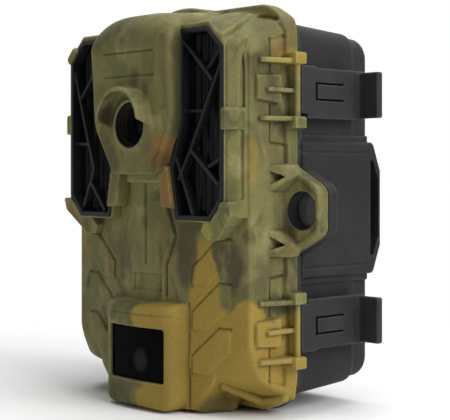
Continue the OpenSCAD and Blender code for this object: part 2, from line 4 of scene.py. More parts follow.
import bmesh
import bpy
import numpy as np
from bpy.props import FloatProperty, FloatVectorProperty, PointerProperty
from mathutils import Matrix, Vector


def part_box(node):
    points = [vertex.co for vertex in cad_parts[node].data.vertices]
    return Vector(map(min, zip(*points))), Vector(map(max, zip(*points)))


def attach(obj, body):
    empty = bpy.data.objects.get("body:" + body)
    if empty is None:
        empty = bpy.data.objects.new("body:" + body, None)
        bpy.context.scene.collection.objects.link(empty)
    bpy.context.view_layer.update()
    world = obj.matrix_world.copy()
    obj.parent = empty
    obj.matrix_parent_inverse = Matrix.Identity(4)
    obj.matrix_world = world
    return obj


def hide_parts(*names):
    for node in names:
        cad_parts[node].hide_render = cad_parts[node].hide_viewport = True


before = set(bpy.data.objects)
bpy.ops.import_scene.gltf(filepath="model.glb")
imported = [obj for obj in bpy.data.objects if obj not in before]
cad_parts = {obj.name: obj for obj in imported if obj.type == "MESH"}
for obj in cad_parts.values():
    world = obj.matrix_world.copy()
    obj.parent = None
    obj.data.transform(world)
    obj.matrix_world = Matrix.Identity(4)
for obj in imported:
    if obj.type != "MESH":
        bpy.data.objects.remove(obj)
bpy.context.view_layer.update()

bl_info = {
    "name": "Trail Camera Builder",
    "version": (1, 0, 0),
    "blender": (4, 5, 0),
    "location": "3D View > Sidebar > Trail Camera",
    "description": "Builds the shells, glass, lamps and fittings of a trail camera around its CAD frame",
    "category": "Object",
}

MM = 0.001

# Body frame in millimetres: y is 0 at the parting line and negative to the lens, z is 0 at mid height
SEAL_LOW, SEAL_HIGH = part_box("door_seal")
BODY_ORIGIN = Vector((0.0, SEAL_LOW.y, (SEAL_LOW.z + SEAL_HIGH.z) / 2))


def to_row(x, y, z):
    """Body-frame millimetres as a row-frame point in metres."""
    return BODY_ORIGIN + Vector((x, y, z)) * MM


# Distance fields: shapes as signed distances in millimetres, negative inside

class Shape:
    """A signed distance with the box outside which it has no say."""

    def __init__(self, distance, low, high):
        self.distance = distance
        self.low = np.array(low, float)
        self.high = np.array(high, float)

    def folded(self, axis):
        """The shape and its mirror image across the plane where that axis is 0."""
        low, high = self.low.copy(), self.high.copy()
        high[axis] = max(abs(low[axis]), abs(high[axis]))
        low[axis] = -high[axis]

        def distance(*place):
            place = list(place)
            place[axis] = np.abs(place[axis])
            return self.distance(*place)

        return Shape(distance, low, high)

    def mirrored(self):
        """The shape on the right and on the left."""
        return self.folded(0)

    def doubled(self):
        """The shape above and below mid height."""
        return self.folded(2)

    def lowered(self, drop):
        """The shape moved down."""
        shift = np.array((0.0, 0.0, drop))
        return Shape(lambda x, y, z: self.distance(x, y, z + drop), self.low - shift, self.high - shift)


def rounded(terms, radius):
    """Common part of square-on slabs, with its outer edges rounded."""
    grown = [term + radius for term in terms]
    deepest = grown[0]
    for term in grown[1:]:
        deepest = np.maximum(deepest, term)
    outside = 0.0
    for term in grown:
        outside = outside + np.maximum(term, 0.0) ** 2
    return np.minimum(deepest, 0.0) + np.sqrt(outside) - radius


def smooth_max(a, b, blend):
    """Larger of two distances with the crease between them rounded."""
    if blend <= 0:
        return np.maximum(a, b)
    overlap = np.maximum(blend - np.abs(a - b), 0.0) / blend
    return np.maximum(a, b) + overlap * overlap * blend / 4


def smooth_min(a, b, blend):
    """Smaller of two distances with the crease between them rounded."""
    return -smooth_max(-a, -b, blend)


def segment_gap(u, v, start, end):
    """Squared distance to a straight line between two points in a plane."""
    (u0, v0), (u1, v1) = start, end
    eu, ev = u1 - u0, v1 - v0
    du, dv = u - u0, v - v0
    along = np.clip((du * eu + dv * ev) / (eu * eu + ev * ev), 0.0, 1.0)
    return (du - eu * along) ** 2 + (dv - ev * along) ** 2


def line_distance(u, v, points):
    """Distance to an open line of points in a plane."""
    nearest = np.inf
    for start, end in zip(points, points[1:]):
        nearest = np.minimum(nearest, segment_gap(u, v, start, end))
    return np.sqrt(nearest)


def outline_distance(u, v, points):
    """Signed distance to a closed outline in a plane."""
    inside = False
    for (u0, v0), (u1, v1) in zip(points, points[1:] + points[:1]):
        rise = (v1 - v0) or 1.0
        crosses = ((v0 > v) != (v1 > v)) & (u - u0 < (u1 - u0) * (v - v0) / rise)
        inside = inside ^ crosses
    return line_distance(u, v, points + points[:1]) * np.where(inside, -1.0, 1.0)


# The two axes of the plane square to an axis, and that axis itself
PLANES = {"x": (1, 2, 0), "y": (0, 2, 1), "z": (0, 1, 2)}


def span_box(axis, points, margin, w0, w1):
    """Low and high corners of the box round an outline drawn square to an axis, from w0 to w1 along it."""
    low, high = [0.0] * 3, [0.0] * 3
    us, vs = zip(*points)
    spans = ((min(us) - margin, max(us) + margin), (min(vs) - margin, max(vs) + margin), (w0, w1))
    for index, span in zip(PLANES[axis], spans):
        low[index], high[index] = span
    return low, high


def prism(axis, points, w0, w1, edge=0.3, corner=0.0):
    """Outline drawn square to an axis and carried along it, with rounded edges and corners."""
    iu, iv, iw = PLANES[axis]
    middle, half = (w0 + w1) / 2, (w1 - w0) / 2

    def distance(*p):
        flat = outline_distance(p[iu], p[iv], points) - corner
        return rounded((flat, np.abs(p[iw] - middle) - half), edge)

    return Shape(distance, *span_box(axis, points, corner, w0, w1))


def brick(low, high, edge=0.3):
    """Block between two corners, with rounded edges."""
    middle = [(a + b) / 2 for a, b in zip(low, high)]
    half = [(b - a) / 2 for a, b in zip(low, high)]

    def distance(*p):
        return rounded([np.abs(p[k] - middle[k]) - half[k] for k in range(3)], edge)

    return Shape(distance, low, high)


def rod(axis, u, v, w0, w1, radius, edge=0.3):
    """Round bar along an axis."""
    iu, iv, iw = PLANES[axis]
    middle, half = (w0 + w1) / 2, (w1 - w0) / 2

    def distance(*p):
        out = np.sqrt((p[iu] - u) ** 2 + (p[iv] - v) ** 2)
        return rounded((out - radius, np.abs(p[iw] - middle) - half), edge)

    return Shape(distance, *span_box(axis, [(u, v)], radius, w0, w1))


def panel(x0, x1, z0, z1, y0, y1, corner, edge):
    """Plate with rounded corners, square to y."""
    points = [(x0 + corner, z0 + corner), (x1 - corner, z0 + corner),
              (x1 - corner, z1 - corner), (x0 + corner, z1 - corner)]
    return prism("y", points, y0, y1, edge, corner)


def plate(half_x, half_z, y0, y1, corner, edge):
    """Panel that is centred on the body."""
    return panel(-half_x, half_x, -half_z, half_z, y0, y1, corner, edge)


def length_of(normal):
    """Length of a normal given as three numbers."""
    return math.sqrt(sum(n * n for n in normal))


def facets(planes, low, high, blend):
    """Solid inside a set of planes, each a normal and its distance, with rounded edges."""
    unit = []
    for normal, reach in planes:
        length = length_of(normal)
        unit.append((tuple(n / length for n in normal), reach / length))

    def distance(x, y, z):
        result = None
        for (nx, ny, nz), reach in unit:
            side = nx * x + ny * y + nz * z - reach
            result = side if result is None else smooth_max(result, side, blend)
        return result

    return Shape(distance, low, high)


def profile_planes(axis, points):
    """Planes along a convex outline drawn square to an axis, with its middle inside them."""
    iu, iv, _ = PLANES[axis]
    centre_u = sum(p[0] for p in points) / len(points)
    centre_v = sum(p[1] for p in points) / len(points)
    planes = []
    for (u0, v0), (u1, v1) in zip(points, points[1:]):
        nu, nv = v1 - v0, u0 - u1
        if nu * (centre_u - u0) + nv * (centre_v - v0) > 0:
            nu, nv = -nu, -nv
        normal = [0.0, 0.0, 0.0]
        normal[iu], normal[iv] = nu, nv
        planes.append((normal, nu * u0 + nv * v0))
    return planes


def bar(a, b, radius):
    """Round-ended bar between two points."""
    a, b = np.array(a, float), np.array(b, float)
    run = b - a
    square = float(run @ run)

    def distance(x, y, z):
        px, py, pz = x - a[0], y - a[1], z - a[2]
        along = np.clip((px * run[0] + py * run[1] + pz * run[2]) / square, 0.0, 1.0)
        gap = (px - run[0] * along) ** 2 + (py - run[1] * along) ** 2 + (pz - run[2] * along) ** 2
        return np.sqrt(gap) - radius

    return Shape(distance, np.minimum(a, b) - radius, np.maximum(a, b) + radius)


def groove(axis, points, width, w0, w1):
    """Band along a line, for engraving the surfaces between w0 and w1 along the axis."""
    iu, iv, _ = PLANES[axis]
    return Shape(lambda *p: line_distance(p[iu], p[iv], points) - width / 2,
                 *span_box(axis, points, width, w0, w1))


def patch(axis, points, w0, w1):
    """Area inside an outline, for raising or sinking the surfaces between w0 and w1 along the axis."""
    iu, iv, _ = PLANES[axis]
    return Shape(lambda *p: outline_distance(p[iu], p[iv], points), *span_box(axis, points, 0.0, w0, w1))


class Moulding:
    """A solid made by adding, cutting and embossing shapes, turned into a mesh at the end."""
    # Millimetres past its shape's box in which a step still counts, and the distance far from every shape
    reach = 2.5
    empty = 9.0

    def __init__(self):
        self.steps = []

    def add(self, shape, fillet):
        """Joins a shape on, with a fillet where it meets the rest."""
        self.steps.append(("add", shape, fillet))

    def cut(self, shape, fillet):
        """Takes a shape away, with its rim rounded."""
        self.steps.append(("cut", shape, fillet))

    def emboss(self, shape, height, slope=0.5):
        """Raises the surface inside a shape by height, or sinks it if height is negative."""
        self.steps.append(("emboss", shape, (height, slope)))

    def apply(self, field, select):
        """Works the steps into a field of distances, each only near its own shape."""
        for kind, shape, value in self.steps:
            pad = self.reach if kind == "emboss" else value + self.reach
            chosen = select(shape.low - pad, shape.high + pad)
            if chosen is None:
                continue
            index, places = chosen
            here = field[index]
            there = shape.distance(*places)
            if kind == "add":
                field[index] = smooth_min(here, there, value)
            elif kind == "cut":
                field[index] = smooth_max(here, -there, value)
            else:
                height, slope = value
                share = np.clip(0.5 - there / slope, 0.0, 1.0)
                field[index] = here - height * share * share * (3 - 2 * share)
        return field

    def on_points(self, points):
        """Distances at a list of points."""
        x, y, z = points.T

        def select(low, high):
            near = np.all((points >= low) & (points <= high), axis=1)
            if not near.any():
                return None
            return near, (x[near], y[near], z[near])

        return self.apply(np.full(len(points), self.empty), select)

    def on_grid(self, axes):
        """Distances on a grid."""
        def select(low, high):
            spans = []
            for a, lo, hi in zip(axes, low, high):
                spans.append(slice(np.searchsorted(a, lo), np.searchsorted(a, hi)))
            if any(s.start >= s.stop for s in spans):
                return None
            x, y, z = (a[s] for a, s in zip(axes, spans))
            return tuple(spans), (x[:, None, None], y[None, :, None], z[None, None, :])

        return self.apply(np.full([len(a) for a in axes], self.empty, np.float32), select)

    def surface(self, pitch):
        """Points and four-sided faces of the surface, on a grid of that pitch."""
        margin = 2.2 * pitch
        low = np.min([s.low for kind, s, _ in self.steps if kind == "add"], axis=0) - margin
        high = np.max([s.high for kind, s, _ in self.steps if kind == "add"], axis=0) + margin
        axes = [np.arange(lo, hi + pitch, pitch) for lo, hi in zip(low, high)]
        points, faces = surface_net(self.on_grid(axes), axes, pitch)
        for _ in range(2):
            points = self.settle(points, pitch)
        return points, faces

    def settle(self, points, pitch):
        """Moves the points onto the true surface."""
        step = 0.08
        least_slope = 0.25
        value = self.on_points(points)
        slope = np.empty_like(points)
        for k in range(3):
            shift = np.zeros(3)
            shift[k] = step
            slope[:, k] = (self.on_points(points + shift) - self.on_points(points - shift)) / (2 * step)
        size = np.maximum((slope ** 2).sum(axis=1), least_slope)
        move = np.clip(value / size, -0.5 * pitch, 0.5 * pitch)
        return points - slope * move[:, None]


def surface_net(field, axes, pitch):
    """One point in each grid cell that the surface crosses, joined round every crossed grid edge."""
    inside = field < 0
    shape = [n - 1 for n in field.shape]
    corners = [(i, j, k) for i in (0, 1) for j in (0, 1) for k in (0, 1)]

    def corner_view(array, corner):
        return array[tuple(slice(c, c + n) for c, n in zip(corner, shape))]

    filled = sum(corner_view(inside, c).astype(np.int8) for c in corners)
    cells = np.argwhere((filled > 0) & (filled < len(corners)))
    number = np.full(shape, -1, np.int64)
    number[tuple(cells.T)] = np.arange(len(cells))

    total = np.zeros((len(cells), 3))
    count = np.zeros(len(cells))
    for a in corners:
        for axis in range(3):
            if a[axis]:
                continue
            b = tuple(c + (1 if k == axis else 0) for k, c in enumerate(a))
            fa = field[tuple((cells + a).T)]
            fb = field[tuple((cells + b).T)]
            crossed = (fa < 0) != (fb < 0)
            share = np.where(crossed, fa / np.where(crossed, fa - fb, 1.0), 0.0)
            place = np.tile(np.array(a, float), (len(cells), 1))
            place[:, axis] += share
            total += place * crossed[:, None]
            count += crossed
    origin = np.array([a[0] for a in axes])
    points = origin + (cells + total / count[:, None]) * pitch

    faces = []
    for axis in range(3):
        u, v = (axis + 1) % 3, (axis + 2) % 3
        here = tuple(slice(0, -1) if k == axis else slice(None) for k in range(3))
        there = tuple(slice(1, None) if k == axis else slice(None) for k in range(3))
        edges = np.argwhere(inside[here] != inside[there])
        keep = (edges[:, u] > 0) & (edges[:, v] > 0)
        keep &= (edges[:, u] < shape[u]) & (edges[:, v] < shape[v])
        edges = edges[keep]
        around = []
        for du, dv in ((-1, -1), (0, -1), (0, 0), (-1, 0)):
            cell = edges.copy()
            cell[:, u] += du
            cell[:, v] += dv
            around.append(number[tuple(cell.T)])
        quad = np.stack(around, axis=1)
        outward = inside[tuple(edges.T)]
        quad[~outward] = quad[~outward][:, ::-1]
        faces.append(quad)
    return points, np.concatenate(faces)


# Meshes and placing

WELD_WITHIN = 2e-6
CUT_CREASE = math.radians(50)
TURNED_CREASE = math.radians(32)
BEVEL_CREASE = math.radians(40)


def quad_mesh(name, points, faces):
    """Smooth mesh from body-frame millimetres."""
    mesh = bpy.data.meshes.new(name)
    mesh.vertices.add(len(points))
    mesh.vertices.foreach_set("co", (np.array(BODY_ORIGIN) + points * MM).astype(np.float32).ravel())
    mesh.loops.add(faces.size)
    mesh.loops.foreach_set("vertex_index", faces.astype(np.int32).ravel())
    mesh.polygons.add(len(faces))
    mesh.polygons.foreach_set("loop_start", np.arange(0, faces.size, 4, dtype=np.int32))
    mesh.update(calc_edges=True)
    mesh.validate()
    mesh.shade_smooth()
    return mesh


def settle_piece(obj, body, slot, material, replaced=()):
    """Gives a finished piece its material and its body, and hides the CAD nodes it replaces; the slot is not
    used.
    """
    if obj.name not in bpy.context.scene.collection.objects:
        bpy.context.scene.collection.objects.link(obj)
    obj.data.materials.clear()
    obj.data.materials.append(material)
    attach(obj, body)
    if replaced:
        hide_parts(*replaced)
    return obj


def mould(name, moulding, pitch, body, slot, material, replaced=(), mirror=None, drop=0.0):
    """Turns a moulding into a piece, or into its mirror image across one body axis, and lowers it."""
    points, faces = moulding.surface(pitch)
    if mirror is not None:
        points[:, mirror] *= -1
        faces = faces[:, ::-1]
    points[:, 2] -= drop
    mesh = quad_mesh(name, points, faces)
    return settle_piece(bpy.data.objects.new(name, mesh), body, slot, material, replaced)


def hollow(obj, planes, half):
    """Cuts the solid inside a set of planes out of a piece, starting from a cube of that half size."""
    bm = bmesh.new()
    bmesh.ops.create_cube(bm, size=2 * half)
    for normal, reach in planes:
        normal = Vector(normal)
        reach = reach / normal.length
        normal.normalize()
        cut = bmesh.ops.bisect_plane(bm, geom=bm.verts[:] + bm.edges[:] + bm.faces[:], dist=1e-5,
                                     plane_co=normal * reach, plane_no=normal, clear_outer=True)
        rim = [e for e in cut["geom_cut"] if isinstance(e, bmesh.types.BMEdge)]
        if rim:
            bmesh.ops.contextual_create(bm, geom=rim)
    bmesh.ops.recalc_face_normals(bm, faces=bm.faces)
    for vert in bm.verts:
        vert.co = to_row(*vert.co)
    carve(obj, bm)


def carve(obj, bm):
    """Takes the solid in a bmesh, placed in the row frame, out of a piece."""
    mesh = bpy.data.meshes.new("cutter")
    bm.to_mesh(mesh)
    bm.free()
    cutter = bpy.data.objects.new("cutter", mesh)
    bpy.context.scene.collection.objects.link(cutter)
    step = obj.modifiers.new("carve", "BOOLEAN")
    step.operation = "DIFFERENCE"
    step.solver = "MANIFOLD"
    step.object = cutter
    bpy.context.view_layer.update()
    cut = bpy.data.meshes.new_from_object(obj.evaluated_get(bpy.context.evaluated_depsgraph_get()))
    if len(cut.polygons) <= len(mesh.polygons):
        raise RuntimeError("the cut left nothing of " + obj.name)
    obj.modifiers.clear()
    obj.data = cut
    cut.shade_smooth()
    cut.set_sharp_from_angle(angle=CUT_CREASE)
    bpy.data.objects.remove(cutter)


def lathe(bm, axis, centre, profile, steps):
    """Turns a closed profile of (radius, along) points about an axis through a body-frame point."""
    order = PLANES[axis]
    on_axis = 1e-6
    rings = []
    for radius, along in profile:
        ring = []
        for k in range(1 if radius < on_axis else steps):
            turn = 2 * math.pi * k / steps
            place = [0.0, 0.0, 0.0]
            place[order[0]] = centre[order[0]] + radius * math.cos(turn)
            place[order[1]] = centre[order[1]] + radius * math.sin(turn)
            place[order[2]] = along
            ring.append(bm.verts.new(to_row(*place)))
        rings.append(ring)
    pairs = list(zip(rings, rings[1:]))
    if len(rings[0]) > 1 or len(rings[-1]) > 1:
        pairs.append((rings[-1], rings[0]))
    faces = []
    for a, b in pairs:
        for k in range(steps):
            corners = [a[k % len(a)], a[(k + 1) % len(a)], b[(k + 1) % len(b)], b[k % len(b)]]
            corners = list(dict.fromkeys(corners))
            if len(corners) > 2:
                faces.append(bm.faces.new(corners))
    bmesh.ops.recalc_face_normals(bm, faces=faces)


def turned(name, parts, body, slot, material, replaced=(), steps=64):
    """A piece of turned solids, each an axis, a centre and a profile."""
    bm = bmesh.new()
    for axis, centre, profile in parts:
        lathe(bm, axis, centre, profile, steps)
    mesh = bpy.data.meshes.new(name)
    bm.to_mesh(mesh)
    bm.free()
    mesh.shade_smooth()
    mesh.set_sharp_from_angle(angle=TURNED_CREASE)
    return settle_piece(bpy.data.objects.new(name, mesh), body, slot, material, replaced)


def dress(node, material, edge):
    """Gives a CAD node rounded edges and a finish, and leaves its own mesh alone."""
    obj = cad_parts[node]
    obj.data.materials.clear()
    obj.data.materials.append(material)
    weld = obj.modifiers.new("weld", "WELD")
    weld.merge_threshold = WELD_WITHIN
    bevel = obj.modifiers.new("edges", "BEVEL")
    bevel.width = edge * MM
    bevel.segments = 2
    bevel.limit_method = "ANGLE"
    bevel.angle_limit = BEVEL_CREASE
    bevel.harden_normals = True


# Driving sizes of the mouldings, in body-frame millimetres

GAP = 0.1
SHARP = 0.05
FLANGE_HALF_WIDTH, FLANGE_HALF_HEIGHT, FLANGE_CORNER = 46, 65, 13
FLANGE_FRONT = -4.8
SIDE_DROP = 0.9
LENS_Z = 26.5
LENS_BORE = 7.42
LATCH_Z = 37.7
LATCH_SLOT = 8.3
PIVOT = (48.0, -2.4)
PIN_RADIUS = 1.0
PIN_HEIGHTS = (20, 55)
LOCK_EYE_X = 51.7
LOCK_EYE_RADIUS = 5.8
TRIPOD_Y = 17
SCREW_X, SCREW_Z = 38, 51.5
KEY_PLACES = {"menu": -21, "up": -7, "down": 7, "ok": 21}
KEY_Z = -6
LAMP_OUTLINE = [(19.3, 55.9), (32, 55.9), (38.6, 49.6), (38.6, 3),
                (33, -3.4), (17.6, -3.4), (14.6, 12), (19.3, 26)]
TURRET = [(10, 58.2), (32.6, 58.2), (39.8, 51), (39.8, 2.4), (33.6, -4.6), (16.8, -4.6), (13.6, 8), (10, 12)]
EAR = [(43, 14.2), (46.2, 14.2), (56.6, 8.8), (58.4, 7.4), (59.4, 5.6),
       (59.4, -5.6), (58.4, -7.4), (56.6, -8.8), (46.2, -14.2), (43, -14.2)]

# Depths between which a surface is engraved or raised: y at the front, x at the sides, y at the back
FRONT = (-30, -18)
CHEEK = (-26, -14)
POD = (-36, -26)
SIDE = (38, 47)
BACK = (34, 38)


def pair(shape):
    """A shape of the side above mid height and its match below."""
    return shape.doubled().lowered(SIDE_DROP)


def four(shape):
    """A shape of the side at all four corners."""
    return pair(shape.mirrored())


def hinge_bores():
    """Bores of the two hinge pins."""
    return pair(rod("z", -PIVOT[0], PIVOT[1], *PIN_HEIGHTS, PIN_RADIUS, SHARP))


def lamp_opening():
    """Hole of the right lamp panel, through the front."""
    return prism("y", LAMP_OUTLINE, -30, -14, SHARP)


# Mouldings of the door

def cover_planes(inset):
    """Planes of the door's right half, moved inwards."""
    sides = profile_planes("z", [(45.2, FLANGE_FRONT), (43.6, -18.9), (0, -24)])
    top = [((0, -0.26, 1), 64.75), ((1, -0.7, 1), 105.8), ((0.263, -0.445, 1), 72.65)]
    base = [((1, -2.3, -1), 131.4), ((0.22, -0.52, -1), 71.4),
            ((0, -0.146, -1), 63.7), ((0, -0.84, -1), 70.5)]
    return [(normal, reach - inset * length_of(normal)) for normal, reach in sides + top + base]


def both_halves(planes):
    """The planes and their mirror images across x = 0."""
    return planes + [((-n[0], n[1], n[2]), reach) for n, reach in planes if n[0]]


def shell_body(work):
    """Faceted body, flange with its arched top, apron, feet and lamp turrets of the door."""
    body = facets(cover_planes(0) + [((0, 1, 0), -GAP)], (0, -24.8, -66), (46, -GAP, 66), 1.3)
    work.add(body.mirrored(), 0)
    work.add(plate(FLANGE_HALF_WIDTH, FLANGE_HALF_HEIGHT, FLANGE_FRONT, -GAP, FLANGE_CORNER, 0.8), 1.4)
    work.add(rod("y", 0, 33.6, -9.0, -GAP, 33, 2.0), 1.2)
    apron = profile_planes("z", [(29.5, -6), (29.5, -20.5), (0, -23.4)])
    apron += [((0.72, 0, -0.69), 59.2), ((0, 0, -1), 65.4), ((0, 0, 1), -44), ((0, 1, 0), -6)]
    work.add(facets(apron, (0, -24, -66), (30, -6, -44), 1.2).mirrored(), 0.8)
    work.add(bar((21, -17, -63.0), (24, -9, -63.2), 3.2).mirrored(), 2.0)
    work.add(prism("y", TURRET, -26, -14, 0.7).mirrored(), 0.6)
    work.add(bar((37.2, -25.0, 53.2), (31.5, -7, 61.0), 1.1).mirrored(), 0.5)


def front_relief(work):
    """Raised tongue, scale plates, small plain recess and engraved lines on the lower front."""
    tongue = [(0, 11), (9.4, 11), (9.4, 0), (12.7, -9.5), (8.5, -18.9), (8.5, -32), (0, -32)]
    work.emboss(patch("y", tongue, *FRONT).mirrored(), 0.7)
    rim = [(9.6, 6), (9.6, 0), (12.9, -9.5), (8.7, -18.9), (8.7, -29)]
    work.emboss(groove("y", rim, 1.0, *FRONT).mirrored(), -0.8)
    work.emboss(groove("y", [(0, 8), (0, -19)], 0.9, *FRONT), -0.9)
    work.emboss(patch("y", [(-7.4, -22.2), (7.4, -22.2), (7.4, -28.0), (-7.4, -28.0)], *FRONT), -0.8, 0.4)
    for top in (-9.9, -24.0, -38.1):
        low = top - 15.0
        plate = [(36, top), (31, top), (20.2, top - 9.3), (20.2, low), (26.5, low), (36, top - 7)]
        work.emboss(patch("y", plate, *CHEEK).mirrored(), 0.5)
        rim = [(36, top), (31, top), (20, top - 9.4), (20, low)]
        work.emboss(groove("y", rim, 0.9, *CHEEK).mirrored(), -0.65)
    work.emboss(groove("y", [(18.4, -31), (18.4, -66)], 0.9, *CHEEK).mirrored(), -0.8)
    work.add(brick((-8.6, -26.0, 7.6), (8.6, -20, 12), 0.9), 0.6)
    work.add(prism("y", [(9.4, 14), (15.8, 12.6), (17.6, -0.6), (11.6, 0)], -27.8, -18, 0.6).mirrored(), 0.4)


def side_relief(work):
    """Ribs, knuckles, latch bars, pads and steps on the door's sides, all four corners alike."""
    front, back = -10.8, -4.9
    recess = [(front, 53.5), (back, 55.5), (back, 20.4), (front, 21.1)]
    work.emboss(four(patch("x", recess, *SIDE)), -0.6, 0.4)
    for line in ([(front, 53.5), (front, 43.2)], [(front, 32.8), (front, 21.1), (back, 20.4), (back, 15.2)]):
        work.emboss(four(groove("x", line, 1.1, *SIDE)), -0.8)
    work.emboss(groove("y", [(34.0, 60.6), (38, 60.3), (41.4, 59.5)], 1.3, -10, -5).mirrored(), -0.7)
    work.emboss(groove("x", [(-5.8, 57.6), (-5.0, 53.5)], 0.9, 40, 48).mirrored(), -0.5)
    pad = [(-17.0, 42.0), (-7.6, 42.7), (-7.6, 33.4), (-17.0, 34.7)]
    work.emboss(four(patch("x", pad, *SIDE)), 1.5, 0.4)
    step = [(front, 42.4), (-7.6, 42.7), (-7.6, 33.4), (front, 33.9)]
    work.emboss(four(patch("x", step, *SIDE)), 0.6, 0.4)
    low, high = LATCH_Z - LATCH_SLOT, LATCH_Z + LATCH_SLOT
    work.cut(four(brick((44.3, -7.8, low), (56, -1.2, high), 0.3)), 0.3)
    work.cut(four(brick((45.5, -6.2, low - 0.1), (56, 1, high + 0.1), 0.1)), 0.2)
    latch_rib = brick((42, -14.0, 37.0), (47.4, -2.4, 38.4), 0.3)
    hinge_rib = brick((-46.6, -14.0, 37.0), (-42, -5.0, 38.4), 0.3)
    work.add(pair(latch_rib), 0.2)
    work.add(pair(hinge_rib), 0.2)
    blade_plan = [(42, -15.8), (45.6, -15.8), (48.8, -5.6), (48.8, -3), (42, -3)]
    for low, high, blade in ((45.9, 49.7, (46.1, 47.7)), (25.7, 29.5, (28.0, 29.5))):
        work.add(four(prism("z", blade_plan, *blade, 0.35)), 0.2)
        work.add(four(brick((43, -5.4, low), (50.3, -0.15, high), 0.6)), 0.2)
    work.cut(hinge_bores(), SHARP)
    work.add(pair(rod("z", *PIVOT, 26, 49, PIN_RADIUS, 0.1)), 0.1)
    work.add(pair(brick((43.6, -3.1, 29), (47.6, -1.7, 46.4), 0.2)), 0.15)


def lock_ear(work):
    """Ear of the lock eye, braced by a hollow gusset above and below."""
    work.add(prism("y", EAR, FLANGE_FRONT, -GAP, 0.8).lowered(SIDE_DROP), 0.5)
    rim = [(45.8, 12.4), (55.4, 7.4), (57.0, 6.2), (57.8, 5.0),
           (57.8, -5.0), (57.0, -6.2), (55.4, -7.4), (45.8, -12.4), (44, -10), (44, 10)]
    work.emboss(patch("y", rim, -7, -4).lowered(SIDE_DROP), -0.6, 0.6)
    gusset = [(43, 14.3), (49.8, 14.3), (51.4, 11.6), (49.2, 9.8), (45.0, 6.2), (43, 6.2)]
    work.add(pair(prism("y", gusset, -11.6, -3.5, 0.35)), 0.25)
    slant = [(44.7, -11.7), (51.6, -4.75), (57, -4.75), (57, -16), (44.7, -16)]
    work.cut(prism("z", slant, -20, 20, 0.2), 0.2)
    work.cut(pair(prism("y", [(44.4, 12.4), (44.4, 7.8), (48.2, 10.7)], -20, -4.9, 0.2)), 0.2)
    work.cut(rod("y", LOCK_EYE_X, -SIDE_DROP, -8, 3, LOCK_EYE_RADIUS, SHARP), 0.2)


def foot_relief(work):
    """Rims under the door's lower corners."""
    start, bend, end = (29.0, -15.8, -56.7), (35.6, -5.6, -62.2), (44.2, -4.2, -60.3)
    work.add(bar(start, bend, 1.45).mirrored(), 0.25)
    work.add(bar(bend, end, 1.35).mirrored(), 0.25)


def cover_moulding():
    """The door's cover, with its openings for lamps, lens and motion sensor."""
    work = Moulding()
    shell_body(work)
    front_relief(work)
    side_relief(work)
    lock_ear(work)
    foot_relief(work)
    work.cut(lamp_opening().mirrored(), 0.3)
    work.cut(rod("y", 0, LENS_Z, -40, -10, 8.4, SHARP), SHARP)
    work.cut(panel(-14.4, 14.4, -57.6, -38.8, -40, -15, 2, SHARP), SHARP)
    return work


def lens_radius(x, z, narrowing=1.0):
    """Distance from the lens axis, on an ellipse narrower than it is tall where asked for."""
    return np.sqrt((x * narrowing) ** 2 + (z - LENS_Z) ** 2)


def lens_hood(work):
    """Visor that stands over the lens, hollow below, and the collar round its bore."""
    narrowing = 1.08

    def visor(x, y, z):
        wall = np.abs(lens_radius(x, z, narrowing) - 11.5 - 0.12 * (y + 37.2)) - 0.65
        slope = (z - LENS_Z) * 0.92 + (y + 32) * 0.38 + 0.46
        return rounded((wall, np.abs(y + 33.1) - 4.1, -slope), 0.45)

    def hollow_under(x, y, z):
        out = lens_radius(x, z, narrowing)
        return rounded((out - 10.9, np.abs(y + 35.6) - 4.8, LENS_Z - 0.6 - z), 0.5)

    def collar(x, y, z):
        return rounded((lens_radius(x, z) - (9.4 - 0.4 * (-29 - y)), np.abs(y + 28.6) - 3.1), 0.4)

    work.add(Shape(visor, (-12.4, -37.3, LENS_Z - 3), (12.4, -29, LENS_Z + 13.4)), 0.8)
    work.cut(Shape(hollow_under, (-10.4, -40.4, LENS_Z - 0.6), (10.4, -30.8, LENS_Z + 11)), 0.3)
    work.add(Shape(collar, (-11, -31.8, LENS_Z - 11), (11, -25, LENS_Z + 11)), 1.2)
    work.cut(rod("y", 0, LENS_Z, -40, 0, LENS_BORE, SHARP), 0.5)


def lens_pod_moulding():
    """Helmet over the lens, with its hood and a plain band between two lines on its brow."""
    work = Moulding()
    dome = [(-32.4 + 9.4 * (1 - math.cos(a)), 53.2 + 10.0 * math.sin(a)) for a in np.linspace(0, 1.3, 9)]
    side = [(-20, 10.4), (-29.6, 10.4), (-30.0, 11.2)] + dome
    side += [(-19, 63.5), (-11.8, 64.2), (-4.9, 64.9), (-4.9, 50), (-20, 40)]
    straight = prism("x", side, -20.4, 20.4, 2.0)

    def helmet(x, y, z):
        crown = 2.4e-5 * x ** 4 * np.clip((z - 46) / 10, 0, 1)
        return straight.distance(x * (1 + 0.0065 * (y + 31)), y, z + crown)

    work.add(Shape(helmet, straight.low, straight.high), 0)
    for way in (1, -1):
        corner = [((-14.5 * way, 0, 8.0), -81.65), ((0, 0, 1), 40)]
        work.cut(facets(corner, (-40, -50, 0), (40, 0, 40), 0), 1.8)
    for z in (42.4, 50.2):
        work.emboss(groove("y", [(-12.5, z), (12.5, z)], 0.8, *POD), -0.5)
    work.emboss(groove("y", [(16.4, 24), (12.2, 16)], 0.7, *POD).mirrored(), -0.35)
    lens_hood(work)
    work.cut(brick((-30, -20, 0), (30, 0, 58), SHARP), SHARP)
    return work


